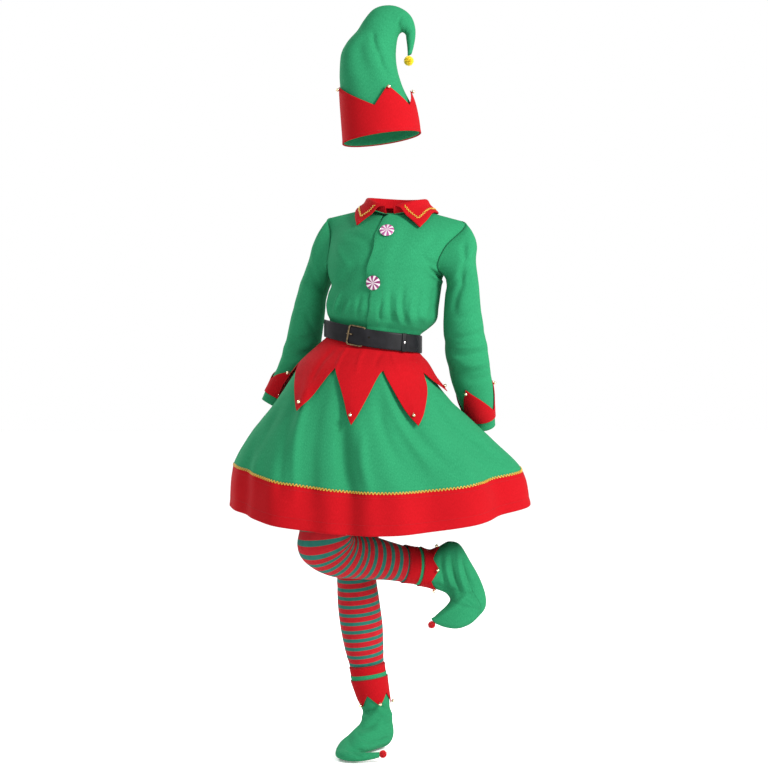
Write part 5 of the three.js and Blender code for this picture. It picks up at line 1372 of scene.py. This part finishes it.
BOOTS = {
    "left": {"rows": RAISED_BOOT_ROWS, "sense": -1, "band": 0.93, "lower": 1.18, "cuff": 1.195,
             "tips": 2.95, "notches": 2.05, "ahead": (-0.68, 0, -0.73)},
    "right": {"rows": STANDING_BOOT_ROWS, "sense": 1, "band": 0.62, "lower": 0.92, "cuff": 0.935,
              "tips": 2.75, "notches": 1.95, "ahead": (0.98, 0.1, 0.14)},
}
for side, facts in BOOTS.items():
    rows = facts["rows"]
    surface = tube(rows, facts["sense"])
    facts["surface"] = surface
    end = rows["t"][-1]
    v = finer(np.concatenate([[facts["lower"] + 0.014], np.arange(2, end + 1)]), 7)[:, None]
    row = row_at(rows, "t", v)
    gap = np.degrees((SEAM + 0.15) / row["deep"])
    cut = np.maximum(row["sole"], 0) + gap
    cloth("boot_upper_" + side, surface, cut + np.linspace(0, 1, 90)[None, :] * (360 - 2 * cut), v,
          0.0, GREEN, relief=boot_relief)
    v = finer([4.35, 5, 6, 7, 8, 9, 10, 10.5], 6)[:, None]
    row = row_at(rows, "t", v)
    gap = np.degrees((SEAM + 0.15) / row["deep"])
    wide = np.maximum(row["sole"], 1.5 * gap) - gap
    cloth("boot_sole_" + side, surface, np.linspace(-1, 1, 41)[None, :] * wide, v, 0.0, GREEN,
          relief=boot_relief)
    bands = (("boot_band_", RED, "red_cloth", 0.0, facts["band"], 0.2),
             ("boot_lower_band_", GREEN, "green_fleece", facts["band"] + 0.012, facts["lower"], 1.4))
    for name, material, slot, start, stop, lift in bands:
        cloth(name + side, surface, around, np.linspace(start, stop, 14)[:, None], lift, material,
              closed=True)
    s = np.linspace(0, 1, 121)[:-1][None, :]
    near = 1 - np.abs((s * 5 + 0.25) % 1 - 0.5) * 2
    low = facts["notches"] + (facts["tips"] - facts["notches"]) * near
    t = np.linspace(0, 1, 22)[:, None]
    cloth("boot_points_" + side, surface, 360 * s, facts["cuff"] + (low - facts["cuff"]) * t,
          BOOT_POINTS_OUT, RED, closed=True, relief=boot_relief)


# Lines and small pieces that lie on a surface

def laid(surface, u, v, lift, relief):
    """Places and outward directions along a line on a surface, over its creases."""
    u, v = paired(u, v)
    place = surface.point(u, v)
    normal = surface.normal(u, v)
    out = lift + relief(place, normal, u, v)
    return place + normal * out[..., None], normal


def spot_on(surface, u, v, lift, relief):
    place, normal = laid(surface, [u], [v], lift, relief)
    return place[0], normal[0]


def turned(out, side):
    """Three directions from an outward one and a rough sideways one."""
    out = unit(np.asarray(out, float))
    side = np.asarray(side, float)
    side = unit(side - out * np.dot(side, out))
    return side, np.cross(out, side), out


def lathe(profile, angles, at, out, side):
    """A turned solid: rows of radius and height, turned about the outward direction."""
    right, up, out = turned(out, side)
    angle = np.radians(np.asarray(angles, float))
    local = np.array([[(r * math.cos(a), r * math.sin(a), h) for a in angle] for r, h in profile])
    points = at + local[..., :1] * right + local[..., 1:2] * up + local[..., 2:] * out
    rows, cols = local.shape[:2]
    i, j = grid_cells(rows - 1, cols)
    beside = (j + 1) % cols
    ring = [(i, j), (i, beside), (i + 1, beside), (i + 1, j)]
    quads = np.stack([a * cols + b for a, b in ring], axis=1)
    uvs = np.stack([local[a, b, :2] for a, b in ring], axis=1)
    return Shape(points, quads, uvs), i, j


def ring_shape(at, out, side, radius, thick, around=18):
    """A small round ring of wire."""
    right, up, out = turned(out, side)
    angle = np.linspace(0, 2 * math.pi, around + 1)[:-1, None, None]
    cross = np.linspace(0, 2 * math.pi, 9)[:-1][None, :, None]
    away = np.cos(angle) * right + np.sin(angle) * up
    rings = at + away * (radius + thick * np.cos(cross)) + out * thick * np.sin(cross)
    return swept(rings, closed=True)


BELL_ANGLES = [a + q for q in (0, 90, 180, 270) for a in (-6, 6, 20, 34, 48, 62, 73)]


def bell_shape(at, out, down, radius=BELL_RADIUS):
    """A round bell with a ridge at its middle, a crossed slot below painted in as dark shade, and a loop
    above.
    """
    axis = unit(0.45 * out + down)
    profile = []
    for step in range(19):
        polar = math.pi * step / 18
        ridge = 0.28 * math.exp(-((polar - math.pi / 2) / 0.13) ** 2)
        profile.append(((radius - 0.3 + ridge) * max(math.sin(polar), 0.004),
                        (radius - 0.3) * math.cos(polar)))
    ball, i, j = lathe(profile, BELL_ANGLES, at, axis, out)
    ball.quads = ball.quads[:, ::-1]
    # The slot is not cut: these faces get the near-black material as painted shade inside the bell.
    ball.dark = (j % 7 == 0) & (i < 7)
    loop = ring_shape(at - axis * (radius + 0.9), np.cross(axis, out), axis, 1.1, 0.32)
    return joined([ball, loop])


def wool_ball(at, radius, strands, seed):
    """A pompom: cut yarn ends that stand out from a small core."""
    chance = np.random.default_rng(seed)
    core, _, _ = lathe([(max(math.sin(math.pi * k / 8), 0.01) * radius * 0.62,
                         math.cos(math.pi * k / 8) * radius * 0.62) for k in range(9)],
                       np.arange(0, 360, 30), at, np.array([0, 0, 1.0]), np.array([1.0, 0, 0]))
    core.quads = core.quads[:, ::-1]
    way = unit(chance.normal(size=(strands, 3)))
    side = unit(np.cross(way, chance.normal(size=(strands, 3))))
    other = np.cross(way, side)
    reach = radius * chance.uniform(0.86, 1.0, strands)
    bend = radius * chance.uniform(0.02, 0.16, strands)
    shares = np.array([0.35, 0.6, 0.82, 1.0])
    thick = np.array([0.5, 0.55, 0.5, 0.22])
    rings = []
    for share, wide in zip(shares, thick):
        middle = at + way * (reach * share)[:, None] + side * (bend * share ** 2)[:, None]
        for k in range(3):
            turn = 2 * math.pi * k / 3
            rings.append(middle + (side * math.cos(turn) + other * math.sin(turn)) * wide)
    points = np.stack(rings, axis=1)
    base = np.arange(strands)[:, None, None] * 12
    quads = np.array([[3 * r + k, 3 * r + (k + 1) % 3, 3 * r + 3 + (k + 1) % 3, 3 * r + 3 + k]
                      for r in range(3) for k in range(3)])
    tips = np.array([[9, 10, 11]])
    yarn = Shape(points, (base + quads).reshape(-1, 4), None, (base + tips).reshape(-1, 3))
    return joined([core, yarn])


# Belt

strap_share = np.linspace(0, 1, 340)[None, :]
strap_up = np.linspace(-1, 1, 15)[:, None]
strap_end = BELT_END - BELT_TIP * np.abs(strap_up)


def strap_relief(place, normal, u, v):
    edge = 1 - smooth((BELT_TALL / 2 - np.abs(v)) / 1.6)
    groove = bump(np.abs(v) - (BELT_TALL / 2 - 3.4), 0.5)
    return 0.12 * unevenness(place) - 0.35 * edge - 0.22 * groove


strap_v = np.sign(strap_up) * np.abs(strap_up) ** 0.8 * BELT_TALL / 2
cloth("belt_strap", BELT, BELT_START + (strap_end - BELT_START) * strap_share, strap_v, 0.0, LEATHER,
      thick=BELT_THICK - 0.3, relief=strap_relief)


def belt_spot(u, lift):
    at, out = spot_on(BELT, u, 0, lift, plain_relief)
    side = BELT.point(u + 1.0, 0.0) - BELT.point(u - 1.0, 0.0)
    return at, *turned(out, side)


def rounded_loop(wide, tall, round_, parts=6):
    """Points of a rounded rectangle, from its right side anticlockwise."""
    corners = [(1, 1, 0), (-1, 1, 90), (-1, -1, 180), (1, -1, 270)]
    out = []
    for right, up, start in corners:
        for k in range(parts + 1):
            angle = math.radians(start + 90 * k / parts)
            out.append(((wide / 2 - round_) * right + round_ * math.cos(angle),
                        (tall / 2 - round_) * up + round_ * math.sin(angle)))
    return np.array(out)


FRAME_BAR = 4.2
FRAME_LEAN = 3.5 / 40
at, side, up, out = belt_spot(BUCKLE_ANGLE, 0.3)
path = rounded_loop(BUCKLE_WIDE - FRAME_BAR, BUCKLE_TALL - FRAME_BAR + 1, 6)
thirds = np.array([0, 1, 2])[None, :, None] / 3
path = (path[:, None] + (np.roll(path, -1, axis=0) - path)[:, None] * thirds).reshape(-1, 2)
heading = unit(np.roll(path, -1, axis=0) - np.roll(path, 1, axis=0))
rings = []
for (x, y), (hx, hy) in zip(path, heading):
    lean = 1.9 - FRAME_LEAN * (x + 20)
    middle = at + side * x + up * y + out * lean
    across = side * hy - up * hx
    rings.append([middle + across * (FRAME_BAR / 2 * math.cos(a)) + out * (1.5 * math.sin(a))
                  for a in np.linspace(0, 2 * math.pi, 13)[:-1]])
make("buckle_bar_frame", swept(np.array(rings), closed=True), BRASS, ["buckle_frame"])

prong_rows = table("x lift half", (-24.6, 3.6, 1.2), (-23, 4.6, 1.5), (-20, 4.9, 1.6), (-16, 3.9, 1.6),
                   (-12.5, 2.3, 1.6), (-10.5, 1.6, 1.4))
rings = []
for k in range(len(prong_rows["x"])):
    middle = at + side * prong_rows["x"][k] + up * 1.5 + out * (prong_rows["lift"][k] + 0.6)
    half = prong_rows["half"][k]
    rings.append([middle + up * half * math.cos(a) + out * 0.85 * math.sin(a)
                  for a in np.linspace(0, 2 * math.pi, 11)[:-1]])
make("buckle_tongue", swept(np.array(rings)), BRASS, ["buckle_prong"])
for k, x in BELT_HOLES:
    hole_at, _, _, hole_out = belt_spot(BUCKLE_ANGLE + x * DEGREES_PER_MM, 0.3)
    # A shallow near-black disc painted as the shade seen in each belt hole.
    hole_shade_disc, _, _ = lathe([(2.5, 0), (2.5, 0.25), (1.9, 0.3), (0.05, 0.2)], np.arange(0, 360, 20),
                         hole_at + up * 1.5, hole_out, side)
    make("belt_hole_%d" % k, hole_shade_disc, PAINTED_HOLE_SHADE)

at, side, up, out = belt_spot(KEEPER_ANGLE, 0.0)
inside = 2 * BELT_THICK + 0.7 + 2.2
loop = rounded_loop(inside + 1.4, BELT_TALL + 2.6, 1.5, 4)
heading = unit(np.roll(loop, -1, axis=0) - np.roll(loop, 1, axis=0))
across = np.linspace(-1, 1, 9)


def keeper_face(step_out):
    """One face of the keeper, at a distance from its middle line that step_out gives at a share s."""
    return np.array([[at + out * (1.1 - inside / 2 + x + step_out(s) * hy)
                      + up * (y - step_out(s) * hx) + side * (s * KEEPER_WIDE / 2)
                      for (x, y), (hx, hy) in zip(loop, heading)] for s in across])


outer = keeper_face(lambda s: 0.45 * (1 - s ** 6))
inner = keeper_face(lambda s: -0.45)
make("belt_loop", sheet_shape(outer, inner, True), LEATHER, ["belt_keeper"])
rivet, _, _ = lathe([(3.0, 0), (3.0, 0.5), (2.7, 1.0), (2.0, 1.35), (1.0, 1.5), (0.02, 1.55)],
                    np.arange(0, 360, 15), at + out * 2.7, out, side)
make("rivet_head", rivet, STEEL, ["belt_rivet"])

# Buttons

BUTTON_PROFILE = [(BUTTON_RADIUS * r, h) for r, h in (
    (0.02, 0.0), (0.5, 0.0), (0.86, 0.0), (0.95, 0.7), (1.0, 1.6), (0.985, 2.6), (0.93, 3.4), (0.86, 3.9),
    (0.78, 4.25), (0.7, 4.5), (0.6, 4.7), (0.45, 4.85), (0.3, 4.95), (0.15, 5.0), (0.02, 5.0))]
for name, u, z, lift, paint in (("upper", 5, -58, LAP_LIFT + 0.5, LILAC),
                                ("lower", 0.5, -194, LAP_LIFT + 1, MAGENTA)):
    place = BODY.point(float(u), float(z))
    normal = BODY.normal(float(u), float(z))
    disc, _, _ = lathe(BUTTON_PROFILE, np.arange(0, 360, 6), place + normal * lift, normal,
                       np.array([1.0, 0, 0]))
    make("button_disc_" + name, disc, paint, ["button_" + name])

# Bells and pompoms

DOWN = np.array([0, 0, -1.0])
for k in range(len(LEAVES["tip"])):
    v = LEAF_BEND + (LEAVES["reach"][k] - LEAF_BEND) * BELL_SHARE
    place, normal = spot_on(SKIRT, LEAVES["tip"][k], v, leaf_lift(v) + BELL_LIFT, skirt_relief)
    bell = bell_shape(place, normal, DOWN)
    make("overskirt_bell_%d" % (k + 1), bell, [BELL, PAINTED_HOLE_SHADE], ["peplum_bell_%d" % (k + 1)])
for k in range(len(BRIM_PEAKS["angle"])):
    place, normal = spot_on(BRIM, BRIM_PEAKS["angle"][k], BRIM_PEAKS["peak"][k] * 0.95,
                            BRIM_OUT + BELL_LIFT, plain_relief)
    make("brim_bell_%d" % (k + 1), bell_shape(place, normal, DOWN), [BELL, PAINTED_HOLE_SHADE],
         ["hat_bell_%d" % (k + 1)])
for side_name, surface in (("left", LEFT_ARM), ("right", RIGHT_ARM)):
    peaks = CUFF_EDGES[side_name][0]
    bells = []
    for angle, peak in zip(peaks["angle"], peaks["peak"]):
        lift = CUFF_POINTS_OUT[side_name] + BELL_LIFT
        place, normal = spot_on(surface, angle, peak + 0.14, lift, sleeve_relief)
        bells.append(bell_shape(place, normal, DOWN))
    make("cuff_bells_" + side_name, joined(bells), [BELL, PAINTED_HOLE_SHADE])
for side_name, facts in BOOTS.items():
    bells = []
    for k in range(5):
        place, normal = spot_on(facts["surface"], 18 + 72 * k, facts["tips"] - 0.16,
                                BOOT_POINTS_OUT + BELL_LIFT, boot_relief)
        bells.append(bell_shape(place, normal, DOWN))
    make("boot_bells_" + side_name, joined(bells), [BELL, PAINTED_HOLE_SHADE])
    row = {name: column[-1] for name, column in facts["rows"].items()}
    tip = np.array([(row["ax"] + row["bx"]) / 2, (row["ay"] + row["by"]) / 2,
                    (row["az"] + row["bz"]) / 2])
    reach = math.sqrt(BOOT_POMPOM_RADIUS ** 2 - (row["deep"] - FLEECE - 0.4) ** 2) + 0.45
    middle = tip + unit(np.array(facts["ahead"], float)) * reach
    make("toe_pompom_" + side_name, wool_ball(middle, BOOT_POMPOM_RADIUS, 900, 31), RED_WOOL,
         ["boot_pompom_" + side_name])
make("tail_pompom", wool_ball(np.array([41, -8, 391.6]), HAT_POMPOM_RADIUS, 1300, 47), YELLOW,
     ["hat_pompom"])

# Braids

for name, turn in (("front", 0), ("back", 180)):
    line_u = np.linspace(-89.5, 89.5, 500) + turn
    points, normals = laid(SKIRT, line_u, TRIM_V, 0.55, skirt_relief)
    make("ric_rac_" + name, wave_braid(points, normals, 2.9, 8.8, 1.15, 1.2), GOLD,
         ["hem_braid_" + name])

down_edge = np.linspace(1.2, 1.79, 30)
along_edge = np.linspace(-0.935, 0.935, 400)
line_u = np.concatenate([np.full(30, -0.935), along_edge[1:-1], np.full(30, 0.935)])
line_v = np.concatenate([down_edge, np.full(398, 1.79), down_edge[::-1]])
points, normals = laid(COLLAR, line_u, line_v, 0.5, plain_relief)
make("collar_zigzag", wave_braid(points, normals, 2.2, 7.0, 0.95, 1.1), GOLD,
     ["collar_braid"])

# Seam allowances that close the armholes from inside

def armhole_strip(side):
    angle = np.linspace(0, 360, 145)[:-1]
    line = armhole_point(angle, side)
    middle = line.mean(axis=0)
    out = unit(line - middle)
    inward = -side * np.array([math.cos(SHOULDER_TURN), -math.sin(SHOULDER_TURN), 0.0])
    reach = np.linspace(-4.0, 6.5, 8)[:, None, None]
    outer = line[None] + inward * reach - out[None] * ALLOWANCE_INSIDE
    return sheet_shape(outer, outer - out[None] * 0.9, True)


for side_name, sign in (("left", 1), ("right", -1)):
    make("armhole_allowance_" + side_name, armhole_strip(sign), GREEN)

# Seam allowance that joins bodice and skirt inside the waist, where the skirt is the wider one

def waist_strip():
    """A strip inside the seam from 7 mm above the bodice's foot to just below the skirt's top."""
    u = np.linspace(-186, -8, 150)[None, :]

    def row_inside(surface, v):
        return surface.point(u, v) - surface.normal(u, v) * ALLOWANCE_INSIDE

    above = row_inside(BODY, heights[0] + 7)
    foot = row_inside(BODY, heights[0]) - [0, 0, 0.8]
    top = row_inside(SKIRT, 0.002) - [0, 0, 1.6]
    below = row_inside(SKIRT, 0.02)
    outer = np.concatenate([above, foot, (foot + top) / 2, top, below])
    away = outer - outer.mean(axis=(0, 1))
    away[..., 2] = 0
    return sheet_shape(outer, outer - 0.85 * (unit(away) + [0, 0, 1]), False)


make("waist_allowance", waist_strip(), GREEN)

# Stitching

stitching = {"red": [], "green": [], "black": []}


def stitched(colour, surface, u, v, lift, relief, **sizes):
    points, normals = laid(surface, u, v, lift, relief)
    stitching[colour].append(stitch_shape(points, normals, **sizes))


full_turn = np.linspace(-180, 180, 720)
for v in (0.952, TRIM_V + 0.024):
    stitched("red", SKIRT, full_turn, v, STITCH_LIFT, skirt_relief)
line = np.linspace(-300, -40, 120)
edge = lap_edge(line) + 1.6
stitched("green", BODY, edge, line, lap_lift(edge, line) + STITCH_LIFT, dress_relief)
line = np.linspace(-300, -205, 60)
stitched("green", BODY, lap_edge(line) + 12, line, LAP_LIFT + STITCH_LIFT, dress_relief)
for surface in (LEFT_ARM, RIGHT_ARM):
    stitched("green", surface, full_turn, 0.16, STITCH_LIFT, sleeve_relief)
    stitched("green", surface, full_turn, 9.32, FLEECE / 2 + STITCH_LIFT, sleeve_relief)
stitched("red", COLLAR, np.linspace(-0.96, 0.96, 300), 1.9, 0.95, plain_relief)
stitched("red", BRIM, full_turn, 0.14, BRIM_OUT + STITCH_LIFT, plain_relief)
for facts in BOOTS.values():
    surface = facts["surface"]
    for v in (facts["band"] - 0.1, 0.1):
        stitched("red", surface, full_turn, v, 0.32, plain_relief)
    # Near-solid black stitch lines at the top of the red band and above the points: black serging, drawn
    # dark enough to paint the shadow in each edge gap as well.
    for v, lift in ((0.03, 0.34), (facts["cuff"] + 0.02, BOOT_POINTS_OUT + 0.14)):
        stitched("black", surface, full_turn, v, lift, plain_relief, long=2.4, gap=0.2, thick=0.6)
    end = facts["rows"]["t"][-1]
    line = np.linspace(facts["lower"] + 1.9, end - 0.3, 240)
    row = row_at(facts["rows"], "t", line)
    beside = np.degrees(4.5 / np.maximum(row["deep"], 10))
    for sign in (1, -1):
        seam = sign * (np.maximum(row["sole"], 0) + beside)
        stitched("green", surface, seam, line, STITCH_LIFT, boot_relief)
make("red_stitching", joined(stitching["red"]), RED_THREAD)
make("black_serging_and_edge_shade_lines", joined(stitching["black"]), BLACK_SERGING_AND_EDGE_SHADE)
make("green_stitching", joined(stitching["green"]), GREEN_THREAD)


# Camera, light and floor

def area_light(name, place, target, size, power, colour):
    data = bpy.data.lights.new(name, "AREA")
    data.shape = "DISK"
    data.size = size
    data.energy = power
    data.color = colour
    lamp = bpy.data.objects.new(name, data)
    lamp.location = place
    lamp.rotation_euler = (Vector(target) - Vector(place)).to_track_quat("-Z", "Y").to_euler()
    bpy.context.scene.collection.objects.link(lamp)


MIDDLE = (-0.02, 0.0, -0.44)
area_light("key", (3.0, -2.7, 1.6), MIDDLE, 1.3, 340, (1.0, 0.985, 0.96))
area_light("back", (-2.6, 3.2, 1.9), MIDDLE, 1.8, 150, (0.97, 0.985, 1.0))

world = bpy.data.worlds.new("studio")
bpy.context.scene.world = world
world.use_nodes = True
world.node_tree.nodes["Background"].inputs["Color"].default_value = (1, 1, 1, 1)
world.node_tree.nodes["Background"].inputs["Strength"].default_value = 1.0

FLOOR_Z = -1.407
floor_mesh = bpy.data.meshes.new("floor")
floor_mesh.from_pydata([(-30, -30, FLOOR_Z), (30, -30, FLOOR_Z), (30, 30, FLOOR_Z), (-30, 30, FLOOR_Z)],
                       [], [(0, 1, 2, 3)])
floor = bpy.data.objects.new("floor", floor_mesh)
bpy.context.scene.collection.objects.link(floor)
floor_paint, nodes, links, shader = node_material("pale_floor")
set_inputs(shader, {"Base Color": (0.93, 0.93, 0.93, 1), "Roughness": 0.9,
                    "Emission Color": (1, 1, 1, 1), "Emission Strength": 0.12})
floor_mesh.materials.append(floor_paint)

CAMERA_PLACE = (-0.0234, -4.5, -0.447)
SENSOR = 36.0
PHOTO_WIDE = 768 * 2.6 * MM
camera_data = bpy.data.cameras.new("camera")
camera_data.sensor_width = SENSOR
camera_data.lens = SENSOR * -CAMERA_PLACE[1] / PHOTO_WIDE
camera_data.clip_end = 200
camera = bpy.data.objects.new("camera", camera_data)
camera.location = CAMERA_PLACE
camera.rotation_euler = (math.radians(90), 0, 0)
bpy.context.scene.collection.objects.link(camera)
bpy.context.scene.camera = camera
view_settings = bpy.context.scene.view_settings
view_settings.view_transform = "Standard"
view_settings.look = "None"
